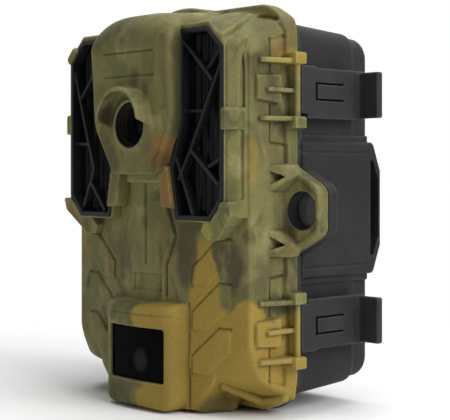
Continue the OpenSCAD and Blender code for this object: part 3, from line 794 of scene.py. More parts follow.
def sensor_pod_moulding():
    """Rounded pod round the motion sensor's window."""
    work = Moulding()
    planes = profile_planes("z", [(17.9, -20.6), (17.0, -27.2), (14.9, -28.9), (0, -30.3)])
    planes += [((0, -0.2, 1), -26.3), ((0, 0, -1), 66.0), ((0, -1, -1), 94.4),
               ((1, 0, -1), 80.6), ((0, 1, 0), -13)]
    work.add(facets(planes, (0, -31, -66.2), (18, -13, -28), 2.0).mirrored(), 0)
    work.emboss(groove("y", [(-16, -35.2), (16, -35.2)], 0.8, -32, -24), -0.3)
    work.cut(panel(-13.9, 13.9, -57, -39.4, -40, -10, 1.0, SHARP), 0.4)
    work.cut(brick((-12.6, -24, -62), (12.6, -5, -36), 0.3), 0.1)
    return work


def sensor_sheet_moulding():
    """Curved dark window of the motion sensor."""
    work = Moulding()

    def sheet(x, y, z):
        bulge = y + 27.5 - 0.004 * x * x
        flat = rounded((np.abs(x) - 13.85, np.abs(z + 48.2) - 8.75), 1.0)
        return rounded((flat, np.abs(bulge) - 0.75), 0.2)

    work.add(Shape(sheet, (-13.9, -28.4, -57), (13.9, -25.8, -39.4)), 0)
    return work


def rail_moulding(capped):
    """Rail on the outer corner of the right lamp panel, with its collar and claw, and a cap if asked for."""
    work = Moulding()
    rail_plan = [(38.3, -25.2), (40.4, -25.4), (42.7, -22.8), (42.7, -18.6), (38.3, -18.6)]
    work.add(prism("z", rail_plan, -3, 54, 0.4), 0)
    work.cut(prism("x", [(-28, 49.8), (-16, 55.1), (-16, 62), (-28, 62)], 36, 48, 0.1), 1.6)
    scoop = [(-22.4, 31), (-19.7, 31), (-19.7, 44), (-20.6, 48.5), (-22.0, 43)]
    work.cut(prism("x", scoop, 41.4, 48, 0.1), 0.3)
    work.cut(brick((42.0, -21.8, 2.6), (48, -20.4, 24.4), 0.1), 0.2)
    collar_plan = [(37.2, -26.5), (40.6, -26.9), (43.0, -23.8), (43.0, -20.2), (37.2, -20.2)]
    work.add(prism("z", collar_plan, 24.2, 30.9, 0.45), 0.2)
    if capped:
        work.add(bar((36.2, -26.2, 53.2), (38.6, -26.2, 50.0), 1.4), 0.2)
    claw = [(38.9, 2.0), (42.6, 2.0), (42.6, -2.2), (33.8, -10.2),
            (29.0, -10.2), (26.8, -7.4), (29.2, -4.2), (33.4, -4.2)]
    work.add(prism("y", claw, -27.0, -18.6, 0.6), 0.2)
    work.cut(prism("x", [(-31, 0.4), (-26.6, 0.4), (-23.2, -11), (-31, -11)], 20, 50, 0.1), 0.4)
    work.cut(prism("z", [(40.6, -29), (48, -29), (48, -18.6)], -12, 3, 0.3), 0.4)
    work.cut(lamp_opening(), 0.1)
    if capped:
        work.add(bar((34.8, -27.7, 53.0), (37.2, -27.7, 50.3), 1.2), 0.2)
    return work


# Ribs of the two grilles, each from a point to a point in x and z, with the y of its front
RIGHT_RIBS = [((19.6, 52.9), (33.4, 39.7), -25.6), ((38.2, 46.4), (23.2, 18.1), -25.6),
              ((23.2, 18.1), (17.4, 8.6), -25.6), ((20.0, 30.6), (28.9, 30.3), -24.8),
              ((23.2, 18.1), (36.6, 6.9), -25.6), ((31.2, 12.7), (38.2, 16.0), -25.2),
              ((16.4, 15.6), (24.6, -2.6), -25.6), ((30.6, 43.4), (37.4, 50.2), -25.0)]
LEFT_RIBS = [((38.4, 47.1), (32.1, 27.1), -25.6), ((32.1, 27.1), (26.9, 12.1), -25.6),
             ((26.9, 12.1), (33.0, -1.0), -25.6), ((26.0, 46.5), (35.2, 36.4), -25.2),
             ((28.8, 7.5), (20.6, -2.2), -25.6), ((38.3, 21), (30.4, 20.8), -24.8)]
RIB_HALF_WIDTH = 0.55
LAMP_WINDOW_FRONT = -22.5
SLATS = (23.7, 26.9, 30.3, 34.2)
SLAT_HALF_WIDTH = 0.7
SLAT_TOP = 55.2
SLAT_CORNER = 87.2


def lattice_moulding(ribs):
    """Frame and crossing ribs of a lamp panel's grille."""
    work = Moulding()

    def frame_ring(x, y, z):
        flat = np.abs(outline_distance(x, z, LAMP_OUTLINE)) - 0.8
        return rounded((flat, np.abs(y + 24.4) - 2.0), 0.25)

    work.add(Shape(frame_ring, (13.6, -26.4, -4.3), (39.5, -22.4, 57.9)), 0)
    for (u0, v0), (u1, v1), front in ribs:
        length = math.hypot(u1 - u0, v1 - v0)
        nu, nv = (v1 - v0) / length * RIB_HALF_WIDTH, (u0 - u1) / length * RIB_HALF_WIDTH
        outline = [(u0 + nu, v0 + nv), (u1 + nu, v1 + nv), (u1 - nu, v1 - nv), (u0 - nu, v0 - nv)]
        work.add(prism("y", outline, front, LAMP_WINDOW_FRONT, 0.2), 0.2)
    return work


def window_moulding():
    """Dark window of a lamp panel with its upright slats, which end under the frame's slanted corner."""
    work = Moulding()
    work.add(prism("y", LAMP_OUTLINE, LAMP_WINDOW_FRONT, -20.5, 0.2), 0)
    for x in SLATS:
        top = min(SLAT_TOP, SLAT_CORNER - x)
        work.add(brick((x - SLAT_HALF_WIDTH, -23.2, -1.6), (x + SLAT_HALF_WIDTH, -22, top), 0.3), 0.3)
    return work


def trim_moulding():
    """Raised frames round the screen, the switch and the sockets, and the plate under the keys."""
    work = Moulding()
    back = -0.9
    frames = ((-20.7, 20.7, 8.3, 39.7, 2.2, 0.2), (26.3, 35.7, -21.9, -18.1, 1.4, 0.1),
              (26.5, 35.5, -36.5, -31.5, 1.4, 0.1), (-2.2, 23.2, -50.2, -21.8, 1.4, 0.1))
    for x0, x1, z0, z1, width, top in frames:
        work.add(panel(x0 - width, x1 + width, z0 - width, z1 + width, back, top, 2.0, 0.3), 0)
    work.add(panel(-26.8, 26.8, KEY_Z - 5, KEY_Z + 5, back, 0.0, 4.8, 0.3), 0)
    for x0, x1, z0, z1, _, _ in frames:
        work.cut(panel(x0, x1, z0, z1, -3, 3, 0.6, 0.1), 0.25)
    for x in KEY_PLACES.values():
        work.cut(rod("y", x, KEY_Z, -3, 3, 3.65, 0.1), 0.25)
    return work


# Mouldings of the rear case

def rear_moulding():
    """Two-tier rear case with flange, hinge lugs, latch bosses and base."""
    work = Moulding()
    corners = [(-37.5, -52), (37.5, -52), (37.5, 52), (-37.5, 52)]

    def front_tier(x, y, z):
        flat = outline_distance(x, z * (1 - 0.0011 * (29 - y)), corners) - 6.5
        return rounded((flat, np.abs(y - 14.55) - 14.45), 0.9)

    work.add(Shape(front_tier, (-44, GAP, -60.6), (44, 29, 60.6)).lowered(SIDE_DROP), 0)
    work.add(plate(43.6, 57.4, 14, 36.4, 7.6, 1.8).lowered(SIDE_DROP), 0.3)
    work.add(panel(-45.6, 45.6, -65.6, 63.4, GAP, 2.2, 13.5, 0.4), 0.5)
    foot = [(19.5, -63), (22.5, -66.5), (28.5, -66.5), (31.5, -63)]
    work.add(prism("y", foot, GAP, 4.4, 0.5).mirrored(), 0.4)
    low, high = LATCH_Z - 8.1, LATCH_Z + 8.1
    work.add(pair(brick((-48.8, -2.4, low), (-47.0, 14, high), 0.3)), 0.1)
    work.add(pair(brick((-48.8, 2.4, low), (-43, 14, high), 0.3)), 0.2)
    work.add(pair(rod("z", -PIVOT[0], PIVOT[1], low, high, 1.9, 0.2)), 0.2)
    work.add(pair(brick((42, 18, LATCH_Z - 4), (46.1, 24, LATCH_Z + 4), 0.4)), 0.3)
    work.add(brick((-13, 5, -66.5), (13, 29, -57), 0.5), 0.8)
    back_relief(work)
    work.cut(plate(41.8, 56.3, -2, 24, 6.8, 0.1), 0.2)
    work.cut(plate(40.8, 55, 10, 33.4, 6.8, 0.3), 0.2)
    work.cut(rod("z", 0, TRIPOD_Y, -70, -58, 4.6, SHARP), 0.1)
    work.cut(hinge_bores(), SHARP)
    return work


def back_relief(work):
    """Border groove, upright ribs, cross lines and screw wells of the back."""
    border = [(-33, -47), (33, -47), (33, 47), (-33, 47), (-33, -47)]
    work.emboss(groove("y", border, 1.2, *BACK), -0.6, 0.4)
    for x in (-18, -6, 6, 18):
        work.emboss(groove("y", [(x, 30), (x, -30)], 2.2, *BACK), 0.9, 0.7)
    for z in (37, 40):
        work.emboss(groove("y", [(-24, z), (24, z)], 1.2, *BACK).doubled(), 0.6, 0.6)
    for x in (-SCREW_X, SCREW_X):
        work.cut(rod("y", x, SCREW_Z, 34.9, 40, 2.5, 0.1).doubled(), 0.3)


def bracket_moulding(with_lock):
    """Band round the rear case's right side, with its strap ear and, if asked for, the lock ear."""
    work = Moulding()
    plan = [(36.4, 22), (37.3, 21.2), (40.8, 12.5), (40.8, -12.5),
            (37.3, -21.2), (36.4, -22), (2.2, -22), (2.2, 22)]
    work.add(prism("x", plan, 40.8, 46, 1.0), 0)
    work.add(prism("x", [(2.2, 24.2), (35.4, 24.2), (35.4, -24.2), (2.2, -24.2)], 40.8, 44.7, 0.6), 0.2)
    strap_slot = [(35.4, 16), (36.9, 16), (39.6, 9.5), (39.6, -9.5), (36.9, -16), (35.4, -16)]
    work.cut(prism("x", strap_slot, 38, 49, SHARP), 0.4)
    work.emboss(groove("x", [(3, 18.6), (33, 18.6)], 0.7, 44, 48).doubled(), -0.4, 0.4)
    if with_lock:
        work.add(prism("y", EAR, GAP, 4.1, 0.6), 0.8)
        work.cut(rod("y", LOCK_EYE_X, 0, -3, 8, LOCK_EYE_RADIUS - 0.5, SHARP), 0.1)
    work.cut(plate(44, 58.5, -4, 24, 9, SHARP), SHARP)
    work.cut(plate(43, 57.2, 20, 36.2, 9, SHARP), SHARP)
    if with_lock:
        work.cut(panel(-45.8, 45.8, -66.5, 63.5, -2, 2.2, 12, SHARP), SHARP)
    return work


def latch_moulding():
    """Upper latch: a lever that bears on its bar from behind, with a sprung tongue and a finger tab."""
    work = Moulding()
    low, high = LATCH_Z - 7.65, LATCH_Z + 7.65
    inner, outer = 46.4, 48.8
    work.add(rod("z", *PIVOT, low, high, 1.9, 0.3), 0)
    mouth = [PIVOT, (50.3, 0.9), (53, 0), (53, -7), (44, -7), (44, 2.4)]
    work.cut(prism("z", mouth, *PIN_HEIGHTS, SHARP), 0.15)
    work.add(brick((inner, -1.3, low), (outer, 6, high), 0.5), 0.3)
    low, high = LATCH_Z - 9.1, LATCH_Z + 7.1
    work.add(brick((inner, 1.8, low), (outer, 28.4, high), 0.5), 0.3)
    work.add(brick((inner, 25.9, low + 0.6), (57.0, 28.5, high - 0.6), 0.6), 1.2)
    middle = LATCH_Z - 0.4
    work.cut(brick((40, 5.4, middle - 2.9), (60, 6.4, middle + 2.9), 0.1), 0.1)
    for slit in (middle - 2.9, middle + 2.3):
        work.cut(brick((40, 5.7, slit), (60, 19, slit + 0.6), SHARP), 0.1)
    tongue = [(8, middle - 2), (18.6, middle - 2), (18.6, middle + 2), (8, middle + 2)]
    work.emboss(patch("x", tongue, 48, 50), 0.2, 0.4)
    work.cut(rod("z", *PIVOT, *PIN_HEIGHTS, PIN_RADIUS + 0.07, SHARP), SHARP)
    return work


# Shader nodes

FLOAT, VECTOR = "NodeSocketFloat", "NodeSocketVector"


def feed(tree, socket, value):
    """Links a socket into another one, or sets it to a value."""
    if isinstance(value, bpy.types.NodeSocket):
        tree.links.new(value, socket)
    else:
        socket.default_value = value


def add(tree, kind, inputs=None, **settings):
    """A new node with its settings and inputs."""
    node = tree.nodes.new(kind)
    for key, value in settings.items():
        setattr(node, key, value)
    for key, value in (inputs or {}).items():
        feed(tree, node.inputs[key], value)
    return node


def calc(tree, operation, a, b=0.0, clamp=False):
    """Result of a sum on two values."""
    return add(tree, "ShaderNodeMath", {0: a, 1: b}, operation=operation, use_clamp=clamp).outputs[0]


def vector_calc(tree, operation, a, b=(0.0, 0.0, 0.0)):
    """Result of a sum on two vectors, or the length of the first."""
    node = add(tree, "ShaderNodeVectorMath", {0: a, 1: b}, operation=operation)
    return node.outputs["Value" if operation == "LENGTH" else "Vector"]


def spread(tree, value, low, high, to_low=0.0, to_high=1.0):
    """Smoothly maps a value from one range to another."""
    inputs = {"Value": value, "From Min": low, "From Max": high, "To Min": to_low, "To Max": to_high}
    return add(tree, "ShaderNodeMapRange", inputs, interpolation_type="SMOOTHSTEP").outputs["Result"]


def mix(tree, factor, a, b, blend="MIX"):
    """One colour laid over another by a factor."""
    return add(tree, "ShaderNodeMix", {0: factor, 6: a, 7: b}, data_type="RGBA", blend_type=blend).outputs[2]


def noise(tree, vector, scale, detail, roughness, distortion=0.0):
    """Cloudy value at a place."""
    inputs = {"Vector": vector, "Scale": scale, "Detail": detail, "Roughness": roughness,
              "Distortion": distortion}
    return add(tree, "ShaderNodeTexNoise", inputs).outputs["Fac"]


def place(tree):
    """Where a point is on its piece at rest, in metres."""
    return add(tree, "ShaderNodeTexCoord").outputs["Object"]


def group(name, inputs, outputs, build):
    """A shader node group with named sockets, built once."""
    tree = bpy.data.node_groups.get(name)
    if tree is None:
        tree = bpy.data.node_groups.new(name, "ShaderNodeTree")
        for label, kind, default in inputs:
            tree.interface.new_socket(label, in_out="INPUT", socket_type=kind).default_value = default
        for label in outputs:
            tree.interface.new_socket(label, in_out="OUTPUT", socket_type=FLOAT)
        source = tree.nodes.new("NodeGroupInput")
        sink = tree.nodes.new("NodeGroupOutput")
        for label, socket in build(tree, source.outputs).items():
            tree.links.new(socket, sink.inputs[label])
    return tree


def use(tree, made, inputs):
    """Outputs of a node group placed in a material with its own values."""
    return add(tree, "ShaderNodeGroup", inputs, node_tree=made).outputs


# Node groups that several finishes share

def moulded_grain():
    """Fine spark-eroded grain of a moulding, with duller and shinier areas."""
    def build(tree, given):
        where = place(tree)
        fine = noise(tree, where, given["Scale"], 2.0, 0.6)
        area = noise(tree, where, given["Area Scale"], 3.0, 0.6)
        offset = calc(tree, "MULTIPLY", calc(tree, "SUBTRACT", area, 0.5), given["Spread"])
        speck = calc(tree, "MULTIPLY", calc(tree, "SUBTRACT", fine, 0.5), given["Spread"])
        rough = calc(tree, "ADD", calc(tree, "ADD", given["Roughness"], offset), speck, clamp=True)
        return {"Height": fine, "Roughness": rough, "Area": area}

    inputs = [("Scale", FLOAT, 1800.0), ("Area Scale", FLOAT, 70.0), ("Roughness", FLOAT, 0.5),
              ("Spread", FLOAT, 0.2)]
    return group("Moulded Grain", inputs, ["Height", "Roughness", "Area"], build)


def edge_wear():
    """Masks of rubbed edges and of hollows, the hollows darkened for dirt and painted shade."""
    def build(tree, given):
        point = add(tree, "ShaderNodeNewGeometry").outputs["Pointiness"]
        broken = spread(tree, noise(tree, place(tree), given["Scale"], 4.0, 0.65), 0.3, 0.62)
        edge = calc(tree, "MULTIPLY", spread(tree, point, 0.51, 0.56), broken)
        # Concave places, which the finishes darken for dirt and painted shade
        sunk = spread(tree, point, 0.49, 0.44)
        return {"Edge": calc(tree, "MULTIPLY", edge, given["Amount"]),
                "Hollow": calc(tree, "MULTIPLY", sunk, given["Dirt"])}

    inputs = [("Scale", FLOAT, 400.0), ("Amount", FLOAT, 0.5), ("Dirt", FLOAT, 0.5)]
    return group("Edge Wear", inputs, ["Edge", "Hollow"], build)


def dust():
    """Thin uneven dust that lies on what faces up."""
    def build(tree, given):
        normal = add(tree, "ShaderNodeNewGeometry").outputs["Normal"]
        upward = add(tree, "ShaderNodeSeparateXYZ", {0: normal}).outputs["Z"]
        patchy = spread(tree, noise(tree, place(tree), given["Scale"], 5.0, 0.7), 0.35, 0.75)
        lying = calc(tree, "MULTIPLY", spread(tree, upward, 0.2, 1.0), patchy)
        return {"Mask": calc(tree, "MULTIPLY", lying, given["Amount"])}

    return group("Dust", [("Scale", FLOAT, 220.0), ("Amount", FLOAT, 0.3)], ["Mask"], build)


def camo_smear():
    """Soft stretched smears of the camouflage print."""
    def build(tree, given):
        inputs = {"Vector": place(tree), "Location": given["Offset"], "Rotation": given["Turn"],
                  "Scale": given["Scale"]}
        stretched = add(tree, "ShaderNodeMapping", inputs).outputs[0]
        cloud = noise(tree, stretched, 1.0, 2.4, 0.5, 0.5)
        high = calc(tree, "ADD", given["Level"], given["Softness"])
        return {"Mask": spread(tree, cloud, given["Level"], high)}

    inputs = [("Offset", VECTOR, (0, 0, 0)), ("Turn", VECTOR, (0, 0, 0)), ("Scale", VECTOR, (100, 100, 40)),
              ("Level", FLOAT, 0.5), ("Softness", FLOAT, 0.1)]
    return group("Camo Smear", inputs, ["Mask"], build)


def camo_patch():
    """One ragged patch round a point."""
    def build(tree, given):
        where = place(tree)
        away = vector_calc(tree, "SUBTRACT", where, given["Centre"])
        length = vector_calc(tree, "LENGTH", vector_calc(tree, "DIVIDE", away, given["Radius"]))
        cloud = calc(tree, "SUBTRACT", noise(tree, where, 90.0, 3.0, 0.55), 0.5)
        reach = calc(tree, "ADD", length, calc(tree, "MULTIPLY", cloud, given["Ragged"]))
        low = calc(tree, "SUBTRACT", 1.0, given["Softness"])
        return {"Mask": spread(tree, reach, 1.0, low)}

    inputs = [("Centre", VECTOR, (0, 0, 0)), ("Radius", VECTOR, (0.01, 0.01, 0.01)),
              ("Ragged", FLOAT, 0.8), ("Softness", FLOAT, 0.25)]
    return group("Camo Patch", inputs, ["Mask"], build)


def grained(tree, scale, area_scale, rough, variation):
    """Outputs of the grain group: height, roughness and its larger areas."""
    return use(tree, moulded_grain(), {"Scale": scale, "Area Scale": area_scale, "Roughness": rough,
                                       "Spread": variation})


def worn(tree, scale, amount, dirt):
    """Outputs of the wear group: rubbed edges and hollows."""
    return use(tree, edge_wear(), {"Scale": scale, "Amount": amount, "Dirt": dirt})


def dusted(tree, base, scale, amount):
    """A base colour with dust on what faces up."""
    mask = use(tree, dust(), {"Scale": scale, "Amount": amount})["Mask"]
    return mix(tree, mask, base, rgba(colours().dust))


def patched(tree, base, tint, centre, radius, ragged, softness, strength):
    """A base colour with one ragged patch of a tint, its centre and radii in body-frame millimetres."""
    mask = use(tree, camo_patch(), {"Centre": to_row(*centre), "Radius": tuple(r * MM for r in radius),
                                    "Ragged": ragged, "Softness": softness})["Mask"]
    return mix(tree, calc(tree, "MULTIPLY", mask, strength), base, tint)


# Parts of a material

GRAIN_DEPTH = 0.00012
MARK_DEPTH = 0.0001


def shader(name, **sockets):
    """A new material with its Principled shader, and the shader's plain sockets set."""
    material = bpy.data.materials.new(name)
    material.use_nodes = True
    tree = material.node_tree
    surface = tree.nodes["Principled BSDF"]
    for key, value in sockets.items():
        surface.inputs[key.replace("_", " ")].default_value = value
    return material, tree, surface


def coat(tree, surface, base, rough):
    """Feeds a shader its colour and its roughness."""
    feed(tree, surface.inputs["Base Color"], base)
    feed(tree, surface.inputs["Roughness"], rough)


def bump(tree, surface, height, strength, distance):
    """Feeds a shader the normal of a bumpy surface."""
    node = add(tree, "ShaderNodeBump", {"Height": height, "Strength": strength, "Distance": distance})
    tree.links.new(node.outputs["Normal"], surface.inputs["Normal"])


def seen_directly(tree):
    """1 for the camera's rays and for those through glass or off gloss, else 0."""
    ray = add(tree, "ShaderNodeLightPath")
    seen = calc(tree, "MAXIMUM", ray.outputs["Is Camera Ray"], ray.outputs["Is Transmission Ray"])
    return calc(tree, "MAXIMUM", seen, ray.outputs["Is Glossy Ray"])


def colours():
    """The colours that the user sets."""
    return bpy.context.scene.trail_camera_colours


def rgba(colour, factor=1.0, lift=0.0):
    """A colour made lighter or darker, with an alpha of 1."""
    return tuple(min(1.0, v * factor + lift) for v in colour[:3]) + (1.0,)


# Finishes

# Patches of the print; some on the lens pod also paint shade, as marked below
PATCHES = (
    # colour, centre and radii in body-frame millimetres, raggedness, softness, strength
    ("ochre", (30, -14, -53), (30, 26, 25), 0.6, 0.14, 1.0),
    ("ochre", (25.5, -20, -27), (7.0, 16, 19), 0.6, 0.2, 1.0),
    ("ochre", (48, -3, -46), (7, 18, 15), 0.7, 0.3, 0.85),
    ("ochre", (49, -4, 47), (8, 10, 5), 0.6, 0.5, 0.9),
    ("ochre", (13, -28, -36), (15, 10, 6.5), 0.5, 0.2, 1.0),
    ("ochre", (13, -27, -63), (14, 11, 8), 0.5, 0.2, 1.0),
    ("rust", (14.6, -30, 17.5), (7.6, 7, 9), 0.8, 0.7, 0.9),
    ("dirt", (13.2, -30, 14.6), (5, 6, 5.5), 0.9, 0.7, 0.6),
    ("rust", (14.5, -27, 6), (4.4, 6, 9), 0.5, 0.5, 0.85),
    ("rust", (-44, -23, 25), (6, 6, 7), 0.9, 0.6, 0.6),
    ("rust", (-42, -23, -4), (6, 6, 8), 0.9, 0.6, 0.8),
    ("rust", (-40, -15, -14), (8, 8, 9), 1.0, 0.7, 0.5),
    ("lime", (28, -24, -8), (5, 6, 4.5), 0.8, 0.5, 0.8),
    ("lime", (47.2, -10, 27.9), (2.3, 7, 1.6), 0.3, 0.3, 0.5),
    ("lime", (47.2, -10, 46.0), (2.3, 7, 1.6), 0.3, 0.3, 0.8),
    ("ochre", (41, -18, -38), (6, 10, 11), 0.6, 0.2, 1.0),
    ("ochre", (44, -18.5, 15), (3.0, 4, 11), 0.7, 0.6, 0.5),
    ("rust", (45.5, -8, 51), (3, 7, 8), 0.9, 0.7, 0.3),
    ("shade", (17.5, -22, -14), (5.5, 9, 14), 1.0, 0.5, 0.85),
    ("shade", (37, -19, -19), (5, 9, 11), 1.0, 0.5, 0.85),
    ("shade", (26, -15, -64), (9, 10, 5), 1.2, 0.6, 0.8),
    ("shade", (-9, -31, -61), (9, 9, 6), 1.1, 0.6, 0.6),
    ("shade", (-12, -24, -14), (12, 9, 10), 1.2, 0.8, 0.5),
    # Print smear and painted shade down the lens pod's right side
    ("shade", (21, -26, 38), (5.0, 6.5, 26), 0.8, 0.7, 0.95),
    # Painted shade on the lens pod's dome, with dark print blotches
    ("shade", (-5, -29, 60), (13, 10, 8), 1.0, 0.8, 0.6),
    ("shade", (44.4, -14, -21), (4, 6, 9), 1.0, 0.8, 0.45),
    # Dark print blotches and painted shade down the lens pod's right side
    ("dirt", (20.6, -26, 51), (3.4, 6, 9), 0.9, 0.7, 0.6),
    ("dirt", (20.4, -27, 25), (3.6, 5, 11), 0.8, 0.7, 0.75),
    # Painted shade on the inner left wall of the lens visor
    ("dirt", (-10.5, -32.5, 30), (4.5, 5, 7), 0.5, 0.6, 0.8),
    ("dirt", (14.5, -28, -50), (10, 8, 17), 0.7, 0.6, 0.2),
    ("dirt", (17.5, -28, 14), (5, 6, 8), 0.8, 0.7, 0.45),
    # Painted shade on the lens pod's upper front, with dark print blotches
    ("shade", (2, -31, 55), (12, 9, 6.5), 0.9, 0.8, 0.55),
    ("khaki", (36, -4, 63.5), (15, 7, 4.5), 0.7, 0.5, 0.85),
    ("brown", (43, -9, 57), (6, 8, 5.5), 0.8, 0.6, 0.55),
)

SMEARS = (
    # colour, strength, offset, turn, scale, level, softness
    ("green", 0.8, (3.1, 0.4, 1.7), 0.5, (70, 70, 44), 0.47, 0.14),
    ("brown", 0.75, (7.7, 2.2, 4.1), -0.4, (84, 84, 40), 0.52, 0.13),
    ("shade", 0.75, (4.4, 8.8, 0.6), 0.15, (82, 82, 50), 0.55, 0.14),
    ("pale", 0.5, (9.3, 1.1, 2.6), -0.6, (110, 110, 66), 0.55, 0.16),
    ("shade", 0.65, (1.3, 5.2, 8.4), 0.35, (140, 140, 84), 0.55, 0.14),
    ("brown", 0.45, (6.1, 3.9, 7.3), -0.3, (190, 190, 100), 0.54, 0.13),
)
EYE_LINING = (0.00625, 0.00605)


def camouflage():
    """Camouflage print on grained olive plastic, unprinted in the bore of the lock eye, with dirt and
    painted shade in its hollows and painted shade on parts of the lens pod.
    """
    chosen = colours()
    material, tree, surface = shader("Camouflage Print", Specular_IOR_Level=0.06)
    colour = rgba(chosen.camo_khaki)
    for key, strength, offset, turn, scale, level, soft in SMEARS:
        values = {"Offset": offset, "Turn": (0, turn, 0), "Scale": scale, "Level": level, "Softness": soft}
        mask = use(tree, camo_smear(), values)["Mask"]
        tint = rgba(getattr(chosen, "camo_" + key))
        colour = mix(tree, calc(tree, "MULTIPLY", mask, strength), colour, tint)
    for key, *values in PATCHES:
        tint = rgba(getattr(chosen, "camo_" + key))
        colour = patched(tree, colour, tint, *values)
    grain = grained(tree, 1500.0, 90.0, 0.52, 0.22)
    speck = spread(tree, grain["Height"], 0.25, 0.75, 0.88, 1.1)
    grey = add(tree, "ShaderNodeCombineColor", {0: speck, 1: speck, 2: speck}).outputs[0]
    colour = mix(tree, 1.0, colour, grey, "MULTIPLY")
    wear = worn(tree, 300.0, 0.5, 0.55)
    colour = mix(tree, wear["Edge"], colour, rgba(chosen.camo_pale))
    # Dirt and painted shade in the engraved lines and hollows
    colour = mix(tree, wear["Hollow"], colour, rgba(chosen.camo_dirt))
    colour = dusted(tree, colour, 160.0, 0.08)
    from_eye = vector_calc(tree, "SUBTRACT", place(tree), to_row(LOCK_EYE_X, 0, -SIDE_DROP))
    bore = vector_calc(tree, "LENGTH", vector_calc(tree, "MULTIPLY", from_eye, (1.0, 0.0, 1.0)))
    colour = mix(tree, spread(tree, bore, *EYE_LINING), colour, rgba(chosen.case_black))
    coat(tree, surface, colour, grain["Roughness"])
    bump(tree, surface, grain["Height"], 0.12, GRAIN_DEPTH)
    return material


def moulded(name, colour, rough, grain_scale=1800.0, grain_strength=0.14, dirt=0.3):
    """Grained plastic of one colour, rubbed at its edges, darker in its hollows with dirt and painted shade,
    and dusty on top.
    """
    material, tree, surface = shader(name, Specular_IOR_Level=0.1)
    grain = grained(tree, grain_scale, 60.0, rough, 0.18)
    cloudy = spread(tree, grain["Area"], 0.35, 0.7, 0.0, 0.25)
    base = mix(tree, cloudy, rgba(colour), rgba(colour, 1.9, 0.012))
    wear = worn(tree, 380.0, 0.4, dirt)
    base = mix(tree, wear["Edge"], base, rgba(colour, 2.6, 0.02))
    # Half as bright in the hollows: dirt and painted shade
    base = mix(tree, wear["Hollow"], base, rgba(colour, 0.5))
    coat(tree, surface, dusted(tree, base, 200.0, 0.05), grain["Roughness"])
    bump(tree, surface, grain["Height"], grain_strength, GRAIN_DEPTH)
    return material


def glossy(name, colour, rough, gloss):
    """Smooth plastic with faint smudges."""
    material, tree, surface = shader(name, Specular_IOR_Level=gloss)
    smudge = grained(tree, 240.0, 45.0, rough, 0.12)
    cloudy = spread(tree, smudge["Area"], 0.4, 0.75, 0.0, 0.5)
    base = mix(tree, cloudy, rgba(colour), rgba(colour, 1.8, 0.003))
    coat(tree, surface, base, smudge["Roughness"])
    bump(tree, surface, smudge["Height"], 0.02, MARK_DEPTH)
    return material


def sensor_sheet(name, colour):
    """Dark sheet with a soft grey painted highlight on its face, where the sensor behind it would show
    faintly.
    """
    material = glossy(name, colour, 0.1, 0.01)
    tree = material.node_tree
    socket = tree.nodes["Principled BSDF"].inputs["Base Color"]
    base = socket.links[0].from_socket
    # Painted highlight: a faint grey patch on the sheet's face
    glint = (0.04, 0.04, 0.04, 1.0)
    feed(tree, socket, patched(tree, base, glint, (1.8, -28, -50.4), (4.4, 10, 5), 0.3, 0.6, 0.45))
    return material


def metal(name, colour, rough):
    """Plated or turned metal with fine tool marks and stains."""
    material, tree, surface = shader(name, Metallic=1.0)
    marks = add(tree, "ShaderNodeMapping", {"Vector": place(tree), "Scale": (40.0, 900.0, 40.0)})
    lines = noise(tree, marks.outputs[0], 8.0, 2.0, 0.6)
    grain = grained(tree, 700.0, 160.0, rough, 0.25)
    base = mix(tree, spread(tree, grain["Area"], 0.45, 0.75, 0.0, 0.5), rgba(colour), rgba(colour, 0.55))
    base = mix(tree, worn(tree, 500.0, 0.5, 0.5)["Hollow"], base, rgba(colour, 0.25))
    coat(tree, surface, base, grain["Roughness"])
    bump(tree, surface, lines, 0.06, MARK_DEPTH)
    return material


def clear(name, colour, rough):
    """Clear or tinted glass with faint smears."""
    material, tree, surface = shader(name, Transmission_Weight=1.0, IOR=1.5, Specular_IOR_Level=0.06)
    smear = grained(tree, 320.0, 70.0, rough, rough)
    tinted = mix(tree, spread(tree, smear["Area"], 0.4, 0.8), rgba(colour), rgba(colour, 0.9))
    coat(tree, surface, tinted, smear["Roughness"])
    return material


def pane(name, colour, density):
    """Thin flat glass that lets light straight through, with faint smears."""
    material, tree, surface = shader(name, Specular_IOR_Level=0.0)
    smear = grained(tree, 320.0, 70.0, 0.06, 0.05)
    tinted = mix(tree, spread(tree, smear["Area"], 0.4, 0.8), rgba(colour), rgba(colour, 1.6))
    coat(tree, surface, tinted, smear["Roughness"])
    feed(tree, surface.inputs["Alpha"], spread(tree, smear["Area"], 0.3, 0.8, density, density * 1.3))
    return material


def circuit_board(name, colour):
    """Lacquered board with copper lines under the lacquer and small pads."""
    material, tree, surface = shader(name, Specular_IOR_Level=0.3)
    upright = {"Vector": place(tree), "Rotation": (math.pi / 2, 0, 0)}
    where = add(tree, "ShaderNodeMapping", upright).outputs[0]
    tracks = add(tree, "ShaderNodeTexBrick",
                 {"Vector": where, "Scale": 130.0, "Mortar Size": 0.012, "Mortar Smooth": 0.3,
                  "Color1": (0, 0, 0, 1), "Color2": (0.2, 0.2, 0.2, 1),
                  "Mortar": (1, 1, 1, 1)}).outputs["Fac"]
    dots = add(tree, "ShaderNodeTexVoronoi", {"Vector": where, "Scale": 260.0, "Randomness": 0.7})
    pads = spread(tree, dots.outputs["Distance"], 0.22, 0.16)
    base = mix(tree, tracks, rgba(colour), rgba(colour, 1.9, 0.01))
    base = mix(tree, pads, base, (0.45, 0.43, 0.36, 1))
    coat(tree, surface, base, grained(tree, 900.0, 90.0, 0.3, 0.15)["Roughness"])
    bump(tree, surface, calc(tree, "ADD", tracks, pads), 0.2, MARK_DEPTH)
    return material


